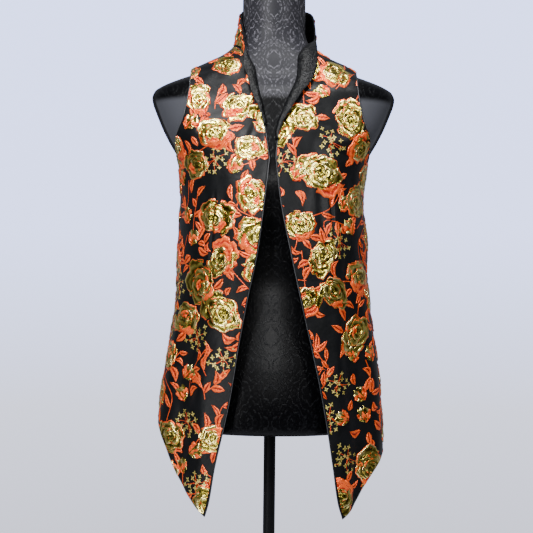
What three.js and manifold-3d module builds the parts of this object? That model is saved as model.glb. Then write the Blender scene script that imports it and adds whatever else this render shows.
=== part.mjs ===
// A sleeveless brocade vest worn on a limbless dress form: two fronts, a back, a
// stand collar that rolls into narrow lapels, its facing, and the form with its
// pole and base. Millimetres; +Z is up, the vest's front faces -Y, and +X is the
// wearer's left. The origin is the centre of the base's underside.

import * as THREE from "three";
import { mergeVertices } from "three/addons/utils/BufferGeometryUtils.js";
import Module from "manifold-3d";

// ---------------------------------------------------------------- sizes

const clothWall = 1.3;
const collarWall = 1.2;
const facingWall = 1.0;
const layerGap = 0.4;
const seamGap = 0.5;
const collarSeat = 1.0;
const collarMargin = 2.5;
const collarTurn = 0.2;

const underarmZ = 848;
const chestZ = 880;

const poleRadius = 9.5;
const poleGap = 0.3;
const socketDepth = 60;
const socketOverrun = 5;
const baseRadius = 140;
const baseEdge = 6;
const baseBevel = 4;
const baseRise = 9;
const baseFloor = 6;
const hubRadius = 22;
const hubFoot = 11;
const hubTop = 30;
const hubGap = 0.35;

const hangRows = 19;
const yokeRows = 16;
const frontColumns = 14;
const shoulderColumns = 7;
const backNeckColumns = 18;
const collarSteps = 46;
const collarAcross = 7;
const necklineSamples = 14;
const formSegments = 32;
const tallestBand = 30;
const rodSegments = 32;
const latheSegments = 48;

// A short table: one object for each row, its values under the named columns.
function table(names, rows) {
  const keys = names.split(" ");
  return rows.map((row) => Object.fromEntries(keys.map((key, i) => [key, row[i]])));
}

// The form's cross-sections: half width, depth to the front and to the back, and
// the power of the superellipse.
const formRings = table("z side front back power", [
  [438, 152, 103, 104, 2.2],
  [444, 157, 107, 108, 2.2],
  [480, 160, 110, 112, 2.2],
  [530, 155, 107, 112, 2.2],
  [600, 135, 97, 98, 2.2],
  [660, 120, 90, 84, 2.2],
  [710, 124, 95, 84, 2.2],
  [770, 134, 108, 91, 2.2],
  [825, 142, 117, 97, 2.3],
  [856, 149, 115, 99, 2.5],
  [888, 166, 110, 99, 2.8],
  [907, 175.5, 104, 99, 2.8],
  [930, 185, 96, 97, 2.8],
  [945, 190.5, 91, 95, 2.8],
  [954, 192, 87, 93, 2.8],
  [963.5, 188.5, 82, 88, 2.8],
  [969.5, 180, 80, 86, 2.8],
  [975.5, 168, 78, 84, 2.7],
  [981.5, 153, 75.5, 82, 2.6],
  [989, 134, 72, 78, 2.4],
  [997, 119, 69, 75, 2.3],
  [1007.5, 101, 65, 71, 2.2],
  [1017, 86, 61, 67, 2.2],
  [1027.5, 71, 57, 62, 2.1],
  [1038.5, 60, 53, 58, 2.1],
  [1052, 52.5, 50, 55, 2.0],
  [1066, 50, 48, 52, 2.0],
  [1118, 50, 48, 52, 2.0],
  [1126, 48, 45.5, 49.5, 2.0],
  [1130, 46, 43.5, 47.5, 2.0],
]);

// The hanging cloth's cross-sections, from the hem to the underarm.
const hangRings = table("z right left front back", [
  [320, 179, 179, 134, 120],
  [400, 178.5, 178.5, 134, 120],
  [438, 177.5, 177.5, 133, 120],
  [473, 174, 175, 132, 119],
  [528, 167, 170, 131, 118],
  [579, 158, 163, 130, 114],
  [630, 151.5, 155.5, 130, 109],
  [680, 148.5, 150.5, 131, 105],
  [716, 148, 150.5, 132, 104],
  [756, 146.5, 147, 131, 104],
  [796, 145, 143, 127, 104],
  [underarmZ, 148.3, 148.3, 120, 101.5],
]);

// How far the cloth lies outside the form above the underarm. It stands off at
// the shoulder points, where the armhole seams hold it out.
const yokeEase = table("z side front back", [
  [856, 1.6, 3.2, 2.0],
  [888, 2.4, 2.2, 1.2],
  [907, 1.6, 1.2, 0.9],
  [930, 1.0, 0.9, 1.0],
  [945, 1.0, 1.3, 2.4],
  [954, 1.0, 1.8, 3.6],
  [963.5, 1.6, 1.8, 3.6],
  [975.5, 4, 2.0, 3.2],
  [989, 9, 2.4, 2.8],
  [997, 13.5, 3, 3],
  [1007.5, 12.5, 3, 3],
  [1017, 6, 2.6, 2.6],
  [1027.5, 4.5, 2, 2],
  [1038.5, 3, 1.5, 1.5],
  [1052, 2, 1.2, 1.2],
]);

// Centre-front edges, from the hem points up; `right` is the wearer's right.
const frontEdges = table("z right left", [
  [320, -96, 108],
  [342.5, -90, 101.3],
  [393.5, -81.7, 93.4],
  [447, -69.9, 85.4],
  [495.5, -59.6, 76.3],
  [568, -48.2, 60.5],
  [641, -35.2, 42.8],
  [714, -20.7, 26.4],
  [787, -11.9, 11.5],
  [underarmZ, -5.2, 4.2],
]);

// Side seams: how far behind the widest line each one lies.
const sideSeams = table("z right left", [
  [320, 0, 25],
  [450, 0, 21],
  [650, 0, 11],
  [underarmZ, 0, 4],
]);

// The fronts' hems: height at a share of the way from the side seam to the point
// at the centre front.
const hems = table("share right left", [
  [0, 454, 420],
  [0.15, 453, 412],
  [0.32, 440, 405.5],
  [0.45, 415.5, 398.5],
  [0.58, 382, 381],
  [0.7, 360, 359],
  [0.8, 346.5, 341],
  [0.9, 333.5, 328],
  [1, 322, 319],
]);

// Vertical folds of the hanging cloth. The angle runs round the body from the
// wearer's left side (0) past the back (90); depth is how far in a fold goes.
const folds = table("angle width depth top", [
  [-138, 9, 7, 760],
  [-156, 10, -4, 740],
  [-114, 8, 3, 700],
  [-42, 9, 7, 760],
  [-24, 10, -4, 740],
  [-66, 8, 3, 700],
  [62, 9, 6, 720],
  [90, 12, -3, 720],
  [118, 9, 6, 720],
]);
const foldFade = 260;

// Armholes, for the wearer's left; the right is its mirror.
const frontArmhole = table("x y z", [
  [146.5, -33, 858],
  [143, -50, 870],
  [138, -62, 885],
  [131.5, -72, 905],
  [129, -76, 925],
  [126.5, -75, 950],
  [127, -65, 975],
  [129, -36, 994],
]);
const backArmhole = table("x y z", [
  [146.5, 35, 858],
  [144, 48, 870],
  [139, 58, 890],
  [134, 66, 915],
  [130, 72, 945],
  [129, 68, 975],
  [130, 36, 994],
]);

// Shoulder seams, from the armhole to the neck.
const shoulderPoint = [130, -4, 996];
const shoulderMid = [93, -29, 1012];

// The collar, from its lower end on the wearer's left front round the neck to its
// lower end on the right: its root on the cloth (x, y, z), how far it rises
// before it turns (roll), and its free edge (ex, ey, ez).
const collarStations = table("x y z roll ex ey ez", [
  [3.7, -116, 876, 2.5, 7.2, -119.5, 877],
  [3.9, -112, 889, 4, 9, -116.5, 888],
  [7.4, -106, 905.6, 5.5, 15.2, -111.5, 906],
  [14.2, -100, 922.3, 6.5, 24, -106.5, 920.5],
  [21, -94, 939.8, 7, 33.3, -101.5, 936.5],
  [27.7, -88, 955.2, 8, 42.5, -97, 951],
  [34.8, -81, 973.9, 9, 55.5, -88.5, 968.5],
  [37, -72, 997, 11, 64, -77, 991],
  [38, -64, 1014, 11, 66.2, -62, 1013],
  [48, -46, 1033, 8, 66, -43.5, 1033],
  [57, -24, 1038, 4, 65.4, -27, 1048],
  [62, 4, 1042, 5, 65, -7, 1071],
  [54, 34, 1045, 12, 61, 18, 1098],
  [30, 58, 1046, 14, 41, 50, 1114],
  [0, 66, 1047, 14, 0, 63, 1117],
  [-30, 58, 1046, 12, -30, 55, 1113],
  [-54, 34, 1045, 6, -46.8, 28, 1106],
  [-63, 4, 1042, 1, -52, 2, 1095],
  [-60, -24, 1037, 3, -50.5, -24, 1073],
  [-51, -44, 1031, 4, -46.5, -45, 1050],
  [-40, -66, 1013, 6, -45, -65, 1028],
  [-30, -75, 995, 8, -45.6, -81, 994],
  [-27, -80, 976.7, 7.5, -40.6, -86, 979],
  [-24.1, -86, 961.7, 7, -36.2, -92.5, 961.5],
  [-21.2, -92, 947.3, 6.5, -30.7, -99, 944],
  [-17, -97, 932.7, 6, -23.7, -104, 930],
  [-13.8, -102, 916, 4, -18.2, -108.5, 914],
  [-10.5, -106, 900, 2.5, -14.2, -111.5, 899],
]);
const leftNeckStation = 10;
const rightNeckStation = 18;

// ---------------------------------------------------------------- surfaces

// A smooth curve through one column of a table, without overshoot.
function track(rows, key, along = "z") {
  const last = rows.length - 1;
  const step = (i) => rows[i + 1][along] - rows[i][along];
  const rise = (i) => (rows[i + 1][key] - rows[i][key]) / step(i);
  const slopes = rows.map((row, i) => {
    if (i === 0) return rise(0);
    if (i === last) return rise(last - 1);
    const product = rise(i - 1) * rise(i);
    return product > 0 ? (2 * product) / (rise(i - 1) + rise(i)) : 0;
  });
  return (place) => {
    if (place <= rows[0][along]) return rows[0][key];
    if (place >= rows[last][along]) return rows[last][key];
    const i = rows.findIndex((row) => row[along] > place) - 1;
    const t = (place - rows[i][along]) / step(i);
    const blend = t * t * (3 - 2 * t);
    const bend = t * (1 - t) * step(i) * ((1 - t) * slopes[i] - t * slopes[i + 1]);
    return rows[i][key] + blend * (rows[i + 1][key] - rows[i][key]) + bend;
  };
}

// Every column of a ring table as one function of height.
function ringTracks(rows, keys) {
  const tracks = keys.map((key) => track(rows, key));
  return (z) => Object.fromEntries(keys.map((key, i) => [key, tracks[i](z)]));
}

const easeAt = ringTracks(yokeEase, ["side", "front", "back"]);
const yokeRings = formRings
  .filter((ring) => ring.z > underarmZ && ring.z <= yokeEase.at(-1).z)
  .map((ring) => {
    const ease = easeAt(ring.z);
    return {
      z: ring.z,
      left: ring.side + ease.side,
      right: ring.side + ease.side,
      front: ring.front + ease.front,
      back: ring.back + ease.back,
    };
  });
const clothRingAt = ringTracks([...hangRings, ...yokeRings], ["right", "left", "front", "back"]);
const powerAt = track(formRings, "power");

// The wearer's left is on +X, so the tables' columns are named by this.
const wearerSide = (x) => (x > 0 ? "left" : "right");

// Half width and depth of the cloth on the side where a point lies.
function clothReach(x, y, z) {
  const ring = clothRingAt(z);
  const width = ring[wearerSide(x)];
  const depth = y < 0 ? ring.front : ring.back;
  return [width, depth];
}

// Less than 1 inside the cloth, more than 1 outside it.
function fullness(x, y, z) {
  const [width, depth] = clothReach(x, y, z);
  const power = powerAt(z);
  return (Math.abs(x) / width) ** power + (Math.abs(y) / depth) ** power;
}

function clothNormal(p) {
  const h = 0.5;
  return new THREE.Vector3(
    fullness(p.x + h, p.y, p.z) - fullness(p.x - h, p.y, p.z),
    fullness(p.x, p.y + h, p.z) - fullness(p.x, p.y - h, p.z),
    fullness(p.x, p.y, p.z + h) - fullness(p.x, p.y, p.z - h),
  ).normalize();
}

// Moves a point along a ray from inside the chest onto the cloth's inner face. The
// ray starts at a share of the point's x, and the crossing is found by halving the
// range between two shares of the ray.
const rayStart = 0.7;
const rayRange = [0.3, 2];
const halvings = 40;

function ontoCloth(point) {
  const from = new THREE.Vector3(rayStart * point.x, 0, chestZ);
  const ray = point.clone().sub(from);
  let [inside, outside] = rayRange;
  for (let i = 0; i < halvings; i += 1) {
    const middle = (inside + outside) / 2;
    const p = from.clone().addScaledVector(ray, middle);
    if (fullness(p.x, p.y, p.z) < 1) inside = middle;
    else outside = middle;
  }
  return from.addScaledVector(ray, inside);
}

// How far the folds draw the cloth in, at an angle round the body and a height.
function foldDepth(angle, z) {
  return folds.reduce((sum, fold) => {
    const fade = THREE.MathUtils.smoothstep(fold.top - z, 0, foldFade);
    return sum + fold.depth * fade * Math.exp(-(((angle - fold.angle) / fold.width) ** 2));
  }, 0);
}

// A point of the hanging cloth's inner face, by its angle in degrees and height.
function hangPoint(angle, z) {
  const c = Math.cos(THREE.MathUtils.degToRad(angle));
  const s = Math.sin(THREE.MathUtils.degToRad(angle));
  const [width, depth] = clothReach(c, s, z);
  const power = 2 / powerAt(z);
  const x = Math.sign(c) * width * Math.abs(c) ** power;
  const y = Math.sign(s) * depth * Math.abs(s) ** power;
  const p = new THREE.Vector3(x, y, z);
  return p.addScaledVector(clothNormal(p), -foldDepth(angle, z));
}

// The angle of the hanging cloth at a given x near the front, or y near a side.
function frontAngle(x, z) {
  const [width] = clothReach(x, -1, z);
  const turn = Math.acos((Math.abs(x) / width) ** (powerAt(z) / 2));
  const degrees = THREE.MathUtils.radToDeg(turn);
  return x < 0 ? degrees - 180 : -degrees;
}

function sideAngle(side, y, z) {
  const [, depth] = clothReach(side, y, z);
  const turn = Math.asin((Math.abs(y) / depth) ** (powerAt(z) / 2));
  const degrees = Math.sign(y) * THREE.MathUtils.radToDeg(turn);
  return side > 0 ? degrees : 180 - degrees;
}

// ---------------------------------------------------------------- solids

// A closed wall between two grids of points of the same size.
function wall(inner, outer) {
  const rows = inner.length;
  const columns = inner[0].length;
  const positions = [...inner.flat(), ...outer.flat()].flatMap((p) => [p.x, p.y, p.z]);
  const at = (layer, r, c) => layer * rows * columns + r * columns + c;
  const triangles = [];
  const quad = (a, b, c, d) => triangles.push(a, b, c, a, c, d);
  for (let r = 0; r < rows - 1; r += 1) {
    for (let c = 0; c < columns - 1; c += 1) {
      quad(at(0, r, c), at(0, r + 1, c), at(0, r + 1, c + 1), at(0, r, c + 1));
      quad(at(1, r, c), at(1, r, c + 1), at(1, r + 1, c + 1), at(1, r + 1, c));
    }
  }
  for (let c = 0; c < columns - 1; c += 1) {
    quad(at(0, 0, c), at(0, 0, c + 1), at(1, 0, c + 1), at(1, 0, c));
    quad(at(0, rows - 1, c + 1), at(0, rows - 1, c), at(1, rows - 1, c), at(1, rows - 1, c + 1));
  }
  for (let r = 0; r < rows - 1; r += 1) {
    quad(at(0, r + 1, 0), at(0, r, 0), at(1, r, 0), at(1, r + 1, 0));
    quad(at(0, r, columns - 1), at(0, r + 1, columns - 1), at(1, r + 1, columns - 1), at(1, r, columns - 1));
  }
  return solid(positions, triangles);
}

function signedVolume(positions, triangles) {
  const corner = (i) => new THREE.Vector3().fromArray(positions, 3 * triangles[i]);
  let volume = 0;
  for (let i = 0; i < triangles.length; i += 3) {
    volume += corner(i).dot(corner(i + 1).cross(corner(i + 2))) / 6;
  }
  return volume;
}

// A geometry whose faces point out, whichever way round they were listed.
function solid(positions, triangles) {
  if (signedVolume(positions, triangles) < 0) triangles.reverse();
  const geometry = new THREE.BufferGeometry();
  geometry.setAttribute("position", new THREE.Float32BufferAttribute(positions, 3));
  geometry.setIndex(triangles);
  geometry.computeVertexNormals();
  return geometry;
}

function piece(name, geometry, colour, roughness, metalness) {
  const material = new THREE.MeshStandardMaterial({ color: colour, roughness, metalness });
  const mesh = new THREE.Mesh(geometry, material);
  mesh.name = name;
  return mesh;
}

const vectorOf = (row) => new THREE.Vector3(row.x, row.y, row.z);

// Points spaced evenly along a smooth curve through the given ones.
function evenPoints(points, count) {
  const curve = new THREE.CatmullRomCurve3(points, false, "centripetal");
  return curve.getSpacedPoints(count - 1);
}

// ---------------------------------------------------------------- collar

const roots = collarStations.map((row) => {
  const foot = ontoCloth(vectorOf(row));
  return foot.addScaledVector(clothNormal(foot), collarSeat);
});
const freeEdges = collarStations.map((row) => new THREE.Vector3(row.ex, row.ey, row.ez));
const turns = collarStations.map((row, i) => {
  const reach = freeEdges[i].clone().sub(roots[i]);
  return roots[i]
    .clone()
    .addScaledVector(clothNormal(roots[i]), row.roll)
    .addScaledVector(reach, collarTurn);
});
const rootCurve = new THREE.CatmullRomCurve3(roots, false, "centripetal");
const turnCurve = new THREE.CatmullRomCurve3(turns, false, "centripetal");
const edgeCurve = new THREE.CatmullRomCurve3(freeEdges, false, "centripetal");

const collarGrid = Array.from({ length: collarSteps + 1 }, (_, i) => {
  const t = i / collarSteps;
  const section = new THREE.QuadraticBezierCurve3(
    rootCurve.getPoint(t),
    turnCurve.getPoint(t),
    edgeCurve.getPoint(t),
  );
  return section.getPoints(collarAcross);
});

// Unit normals of a grid of points, away from the neck.
function gridNormals(grid) {
  const rows = grid.length - 1;
  const columns = grid[0].length - 1;
  return grid.map((line, r) =>
    line.map((_, c) => {
      const along = grid[Math.min(r + 1, rows)][c].clone().sub(grid[Math.max(r - 1, 0)][c]);
      const across = grid[r][Math.min(c + 1, columns)].clone().sub(grid[r][Math.max(c - 1, 0)]);
      return along.cross(across).normalize();
    }),
  );
}

const collarNormals = gridNormals(collarGrid);
function collarLayer(offset) {
  return collarGrid.map((line, r) =>
    line.map((p, c) => p.clone().addScaledVector(collarNormals[r][c], offset)),
  );
}

function collar() {
  return piece("collar", wall(collarLayer(0), collarLayer(collarWall)), 0x8c6a3a, 0.5, 0.2);
}

function collarFacing() {
  const inner = collarLayer(-layerGap - facingWall);
  return piece("collar_facing", wall(inner, collarLayer(-layerGap)), 0x17181b, 0.75, 0);
}

// ---------------------------------------------------------------- panels

// The edge that a panel keeps beside the collar's root, between two stations.
function necklinePoints(fromStation, toStation, count) {
  const last = collarStations.length - 1;
  return Array.from({ length: count }, (_, i) => {
    const station = THREE.MathUtils.lerp(fromStation, toStation, i / (count - 1));
    const p = rootCurve.getPoint(station / last);
    const along = rootCurve.getTangent(station / last);
    const away = along.cross(clothNormal(p)).normalize();
    return ontoCloth(p.addScaledVector(away, collarMargin));
  });
}

// Shoulder seam of one side, from the armhole to the neck; ahead is -1 for the
// front's edge of the seam and 1 for the back's.
function shoulderSeam(side, ahead, count) {
  const [neck] = necklinePoints(side > 0 ? leftNeckStation : rightNeckStation, 0, 2);
  const outer = new THREE.Vector3(side * shoulderPoint[0], shoulderPoint[1], shoulderPoint[2]);
  const middle = new THREE.Vector3(side * shoulderMid[0], shoulderMid[1], shoulderMid[2]);
  const shift = new THREE.Vector3(0, (ahead * seamGap) / 2, 0);
  return evenPoints([outer, middle, neck], count).map((p) => ontoCloth(p.add(shift)));
}

// A patch between four edges that meet at their ends, laid onto the cloth.
function patch(bottom, top, first, last) {
  const columns = bottom.length - 1;
  const rows = first.length - 1;
  return first.map((_, r) =>
    bottom.map((__, c) => {
      if (r === 0) return bottom[c].clone();
      const u = c / columns;
      const v = r / rows;
      const p = bottom[c].clone().lerp(top[c], v);
      p.add(first[r].clone().lerp(last[r], u));
      p.sub(bottom[0].clone().lerp(bottom[columns], u).lerp(top[0].clone().lerp(top[columns], u), v));
      return ontoCloth(p);
    }),
  );
}

function seamY(side, z) {
  return track(sideSeams, wearerSide(side))(z);
}

function armhole(side, ahead, start, end) {
  const rows = ahead < 0 ? frontArmhole : backArmhole;
  const middle = rows.map((row) => ontoCloth(new THREE.Vector3(side * row.x, row.y, row.z)));
  return evenPoints([start, ...middle, end], yokeRows).map((p) => ontoCloth(p));
}

// The hanging part of a front: columns run from the side seam to the centre edge.
function frontHang(side) {
  const hemAt = track(hems, wearerSide(side), "share");
  const edgeX = track(frontEdges, wearerSide(side));
  return Array.from({ length: hangRows }, (_, r) =>
    Array.from({ length: frontColumns }, (__, c) => {
      const u = c / (frontColumns - 1);
      const z = THREE.MathUtils.lerp(hemAt(u), underarmZ, r / (hangRows - 1));
      const atSide = sideAngle(side, seamY(side, z) - seamGap / 2, z);
      const start = side < 0 ? atSide - 360 : atSide;
      return hangPoint(THREE.MathUtils.lerp(start, frontAngle(edgeX(z), z), u), z);
    }),
  );
}

function frontPanel(side) {
  const hang = frontHang(side);
  const bottom = hang.at(-1);
  const top = shoulderSeam(side, -1, frontColumns);
  const last = collarStations.length - 1;
  const lowerEnd = side > 0 ? 0 : last;
  const neck = side > 0 ? leftNeckStation : rightNeckStation;
  const neckline = necklinePoints(lowerEnd, neck, necklineSamples);
  neckline[neckline.length - 1] = top.at(-1);
  const centre = evenPoints([bottom.at(-1), ...neckline], yokeRows);
  const armholeEdge = armhole(side, -1, bottom[0], top[0]);
  return panel([...hang, ...patch(bottom, top, armholeEdge, centre).slice(1)]);
}

// The back, as one grid from the wearer's left side seam to the right one.
function backPanel() {
  const columns = 2 * shoulderColumns + backNeckColumns;
  const hang = Array.from({ length: hangRows }, (_, r) =>
    Array.from({ length: columns + 1 }, (__, c) => {
      const u = c / columns;
      const hemZ = THREE.MathUtils.lerp(hems[0].left, hems[0].right, u);
      const z = THREE.MathUtils.lerp(hemZ, underarmZ, r / (hangRows - 1));
      const start = sideAngle(1, seamY(1, z) + seamGap / 2, z);
      const end = sideAngle(-1, seamY(-1, z) + seamGap / 2, z);
      return hangPoint(THREE.MathUtils.lerp(start, end, u), z);
    }),
  );
  const bottom = hang.at(-1);
  const leftSeam = shoulderSeam(1, 1, shoulderColumns + 1);
  const rightSeam = shoulderSeam(-1, 1, shoulderColumns + 1).reverse();
  const neckline = necklinePoints(leftNeckStation, rightNeckStation, backNeckColumns + 1);
  const top = [...leftSeam, ...neckline.slice(1, -1), ...rightSeam];
  const first = armhole(1, 1, bottom[0], top[0]);
  const last = armhole(-1, 1, bottom[columns], top[columns]);
  return panel([...hang, ...patch(bottom, top, first, last).slice(1)]);
}

function panel(inner) {
  const outer = inner.map((line) =>
    line.map((p) => p.clone().addScaledVector(clothNormal(p), clothWall)),
  );
  return wall(inner, outer);
}

// ---------------------------------------------------------------- dress form

const wasm = await Module();
wasm.setup();

function toManifold(geometry) {
  const bare = geometry.clone();
  bare.deleteAttribute("normal");
  bare.deleteAttribute("uv");
  const merged = mergeVertices(bare);
  return new wasm.Manifold(
    new wasm.Mesh({
      numProp: 3,
      vertProperties: merged.attributes.position.array,
      triVerts: new Uint32Array(merged.index.array),
    }),
  );
}

function fromManifold(manifold) {
  const mesh = manifold.getMesh();
  return solid(Array.from(mesh.vertProperties), Array.from(mesh.triVerts));
}

// The covered torso and neck: smooth rings, closed flat at both ends.
function torso() {
  const ringAt = ringTracks(formRings, ["side", "front", "back", "power"]);
  const heights = formRings.flatMap((ring, i) => {
    const next = formRings[i + 1];
    return next && next.z - ring.z > tallestBand ? [ring.z, (ring.z + next.z) / 2] : [ring.z];
  });
  const positions = heights.flatMap((z) => {
    const ring = ringAt(z);
    return Array.from({ length: formSegments }, (_, i) => {
      const angle = (2 * Math.PI * i) / formSegments;
      const c = Math.cos(angle);
      const s = Math.sin(angle);
      const depth = s < 0 ? ring.front : ring.back;
      const x = Math.sign(c) * ring.side * Math.abs(c) ** (2 / ring.power);
      return [x, Math.sign(s) * depth * Math.abs(s) ** (2 / ring.power), z];
    }).flat();
  });
  const below = heights.length * formSegments;
  positions.push(0, 0, heights[0], 0, 0, heights.at(-1));
  const triangles = [];
  for (let i = 0; i < formSegments; i += 1) {
    const j = (i + 1) % formSegments;
    const top = (heights.length - 1) * formSegments;
    triangles.push(below, j, i, below + 1, top + i, top + j);
    for (let r = 0; r < heights.length - 1; r += 1) {
      const a = r * formSegments;
      const b = a + formSegments;
      triangles.push(a + i, a + j, b + j, a + i, b + j, b + i);
    }
  }
  return solid(positions, triangles);
}

function rod(radius, fromZ, toZ) {
  const geometry = new THREE.CylinderGeometry(radius, radius, toZ - fromZ, rodSegments);
  return geometry.rotateX(Math.PI / 2).translate(0, 0, (fromZ + toZ) / 2);
}

const torsoBottom = formRings[0].z;
const socketTop = torsoBottom + socketDepth;

function dressForm() {
  const socket = rod(poleRadius + poleGap, torsoBottom - socketOverrun, socketTop);
  const hollow = toManifold(torso()).subtract(toManifold(socket));
  return piece("dress_form", fromManifold(hollow), 0x202227, 0.6, 0);
}

function pole() {
  const geometry = rod(poleRadius, baseFloor + poleGap, socketTop - poleGap);
  return piece("pole", geometry, 0x141518, 0.4, 0.6);
}

// A heavy round foot with a raised hub that holds the pole.
function base() {
  const hubBore = poleRadius + hubGap;
  const profile = [
    [0, 0],
    [baseRadius, 0],
    [baseRadius, baseEdge],
    [baseRadius - baseBevel, baseRise],
    [hubRadius, hubFoot],
    [hubRadius, hubTop],
    [hubBore, hubTop],
    [hubBore, baseFloor],
    [0, baseFloor],
  ].map(([x, y]) => new THREE.Vector2(x, y));
  const geometry = new THREE.LatheGeometry(profile, latheSegments).rotateX(Math.PI / 2);
  return piece("base", geometry, 0x141518, 0.4, 0.6);
}

// ---------------------------------------------------------------- assembly

const vest = new THREE.Group();
vest.add(piece("front_right", frontPanel(-1), 0x8c5a36, 0.5, 0.2));
vest.add(piece("front_left", frontPanel(1), 0x8c5a36, 0.5, 0.2));
vest.add(piece("back", backPanel(), 0x1a1b1f, 0.5, 0));
vest.add(collar(), collarFacing());

const stand = new THREE.Group();
stand.add(dressForm(), pole(), base());

const part = new THREE.Group();
part.add(vest, stand);

export default part;
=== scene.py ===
"""A brocade vest on a limbless dress form, in soft studio light, for Blender 4.5."""

import math
from functools import partial

import bpy
import numpy as np
from mathutils import Matrix, Vector


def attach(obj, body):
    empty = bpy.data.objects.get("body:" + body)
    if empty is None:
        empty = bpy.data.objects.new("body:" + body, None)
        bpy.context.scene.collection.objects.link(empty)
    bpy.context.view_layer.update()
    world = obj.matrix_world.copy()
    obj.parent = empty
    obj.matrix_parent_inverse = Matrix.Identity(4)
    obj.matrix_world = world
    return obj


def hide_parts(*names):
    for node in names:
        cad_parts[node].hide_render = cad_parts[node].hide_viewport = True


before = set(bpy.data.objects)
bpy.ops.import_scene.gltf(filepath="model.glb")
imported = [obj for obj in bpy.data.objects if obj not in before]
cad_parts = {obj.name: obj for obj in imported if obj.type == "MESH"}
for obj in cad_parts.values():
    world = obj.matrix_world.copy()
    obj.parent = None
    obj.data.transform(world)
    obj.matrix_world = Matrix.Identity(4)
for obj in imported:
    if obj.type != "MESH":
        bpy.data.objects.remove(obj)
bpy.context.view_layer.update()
mm = 0.001

# ------------------------------------------------------------ camera and studio
# The camera looks level from 1.4 m in front, with a slight roll. The world is
# pale and turns greyer towards the floor; a round floor lies below the frame.


def linear(colour):
    """An sRGB hex colour as linear red, green, blue and 1."""
    channels = [int(colour[i : i + 2], 16) / 255 for i in (1, 3, 5)]
    return [c / 12.92 if c <= 0.04045 else ((c + 0.055) / 1.055) ** 2.4 for c in channels] + [1]


def node(tree, kind, inputs=(), operation=None, stops=(), **settings):
    """Adds a node. A node given as an input stands for its first output."""
    made = tree.nodes.new(kind if "Node" in kind else "ShaderNode" + kind)
    if operation:
        made.operation = operation
    for key, value in settings.items():
        setattr(made, key, value)
    if stops:
        elements = made.color_ramp.elements
        while len(elements) < len(stops):
            elements.new(0.5)
        for element, (place, colour) in zip(elements, stops):
            element.position, element.color = place, linear(colour)
    for key, value in inputs.items() if isinstance(inputs, dict) else enumerate(inputs):
        value = value.outputs[0] if isinstance(value, bpy.types.Node) else value
        if isinstance(value, bpy.types.NodeSocket):
            tree.links.new(value, made.inputs[key])
        else:
            made.inputs[key].default_value = value
    return made


camera = bpy.data.objects.new("camera", bpy.data.cameras.new("camera"))
bpy.context.collection.objects.link(camera)
camera.data.sensor_fit = "HORIZONTAL"
distance, half_width, roll = 1.4, 0.4264, math.radians(0.6)
camera.data.angle = 2 * math.atan(half_width / distance)
level = Matrix.Rotation(math.radians(90), 4, "X")
eye = Matrix.Translation((-0.008, -distance, 0.69))
camera.matrix_world = eye @ level @ Matrix.Rotation(roll, 4, "Z")
bpy.context.scene.camera = camera

world = bpy.data.worlds.new("studio")
bpy.context.scene.world = world
world.use_nodes = True
world.node_tree.nodes.clear()
add = partial(node, world.node_tree)
axes = add("SeparateXYZ", [add("TexCoord").outputs["Generated"]]).outputs
air = [(0, "#94959F"), (0.3, "#A6A9BA"), (0.6, "#BBC6F4"), (1, "#BECBFF")]
rise = add("ValToRGB", [add("MapRange", [axes["Z"], -0.35, 0.3])], stops=air)
room = [(0, "#38393E"), (1, "#C4C7D2")]
depth = add("ValToRGB", [add("MapRange", [axes["Y"], -0.6, 0.5])], stops=room)
by_camera = add("LightPath").outputs["Is Camera Ray"]
seen, around = add("Background", [rise, 3.45]), add("Background", [depth, 0.6])
add("OutputWorld", [add("MixShader", [by_camera, around, seen])])


def area_light(name, place, target, size, power):
    """A rectangular lamp that faces a target."""
    data = bpy.data.lights.new(name, "AREA")
    data.shape = "RECTANGLE"
    data.size, data.size_y = size
    data.energy = power
    lamp = bpy.data.objects.new(name, data)
    away = Vector(place) - Vector(target)
    lamp.matrix_world = Matrix.Translation(place) @ away.to_track_quat("Z", "Y").to_matrix().to_4x4()
    bpy.context.collection.objects.link(lamp)
    return lamp


lamps = [
    area_light("key", (-0.6, -1.35, 1.8), (0, 0, 0.8), (0.3, 0.3), 51),
    area_light("fill", (1.2, -1.5, 1.35), (0, 0, 0.8), (0.3, 0.6), 20),
    area_light("low", (-0.95, -1.3, 0.35), (-0.05, 0, 0.5), (0.3, 0.5), 9),
    area_light("top", (0.1, -0.5, 2.3), (0, 0, 0.9), (0.7, 0.4), 30),
    area_light("glow", (0.02, -1.45, 0.84), (0, 0, 0.6), (0.2, 0.3), 5),
]

bpy.ops.mesh.primitive_circle_add(vertices=96, radius=0.8, fill_type="NGON")
floor = bpy.context.object
floor.name = "floor"
paint = bpy.data.materials.new("floor")
paint.use_nodes = True
paint.node_tree.nodes["Principled BSDF"].inputs["Base Color"].default_value = linear("#C9CCD8")
floor.data.materials.append(paint)

# ------------------------------------------------------------ dress form
# A smooth limbless torso and neck in black cloth with a tone-on-tone damask, made
# from the same cross-sections as its solid, with the pole's socket below.


def table(rows):
    return np.array(rows, float)


def track(xs, ys):
    """A smooth curve through the given values, without overshoot."""
    xs, ys = np.asarray(xs, float), np.asarray(ys, float)
    rise = np.diff(ys) / np.diff(xs)
    product = rise[:-1] * rise[1:]
    level = product <= 0
    inner = np.where(level, 0, 2 * product / np.where(level, 1, rise[:-1] + rise[1:]))
    slopes = np.concatenate([rise[:1], inner, rise[-1:]])

    def value(x):
        x = np.clip(x, xs[0], xs[-1])
        i = np.clip(np.searchsorted(xs, x, side="right") - 1, 0, len(xs) - 2)
        step = xs[i + 1] - xs[i]
        t = (x - xs[i]) / step
        bend = t * (1 - t) * step * ((1 - t) * slopes[i] - t * slopes[i + 1])
        return ys[i] + t * t * (3 - 2 * t) * (ys[i + 1] - ys[i]) + bend

    return value


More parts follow.
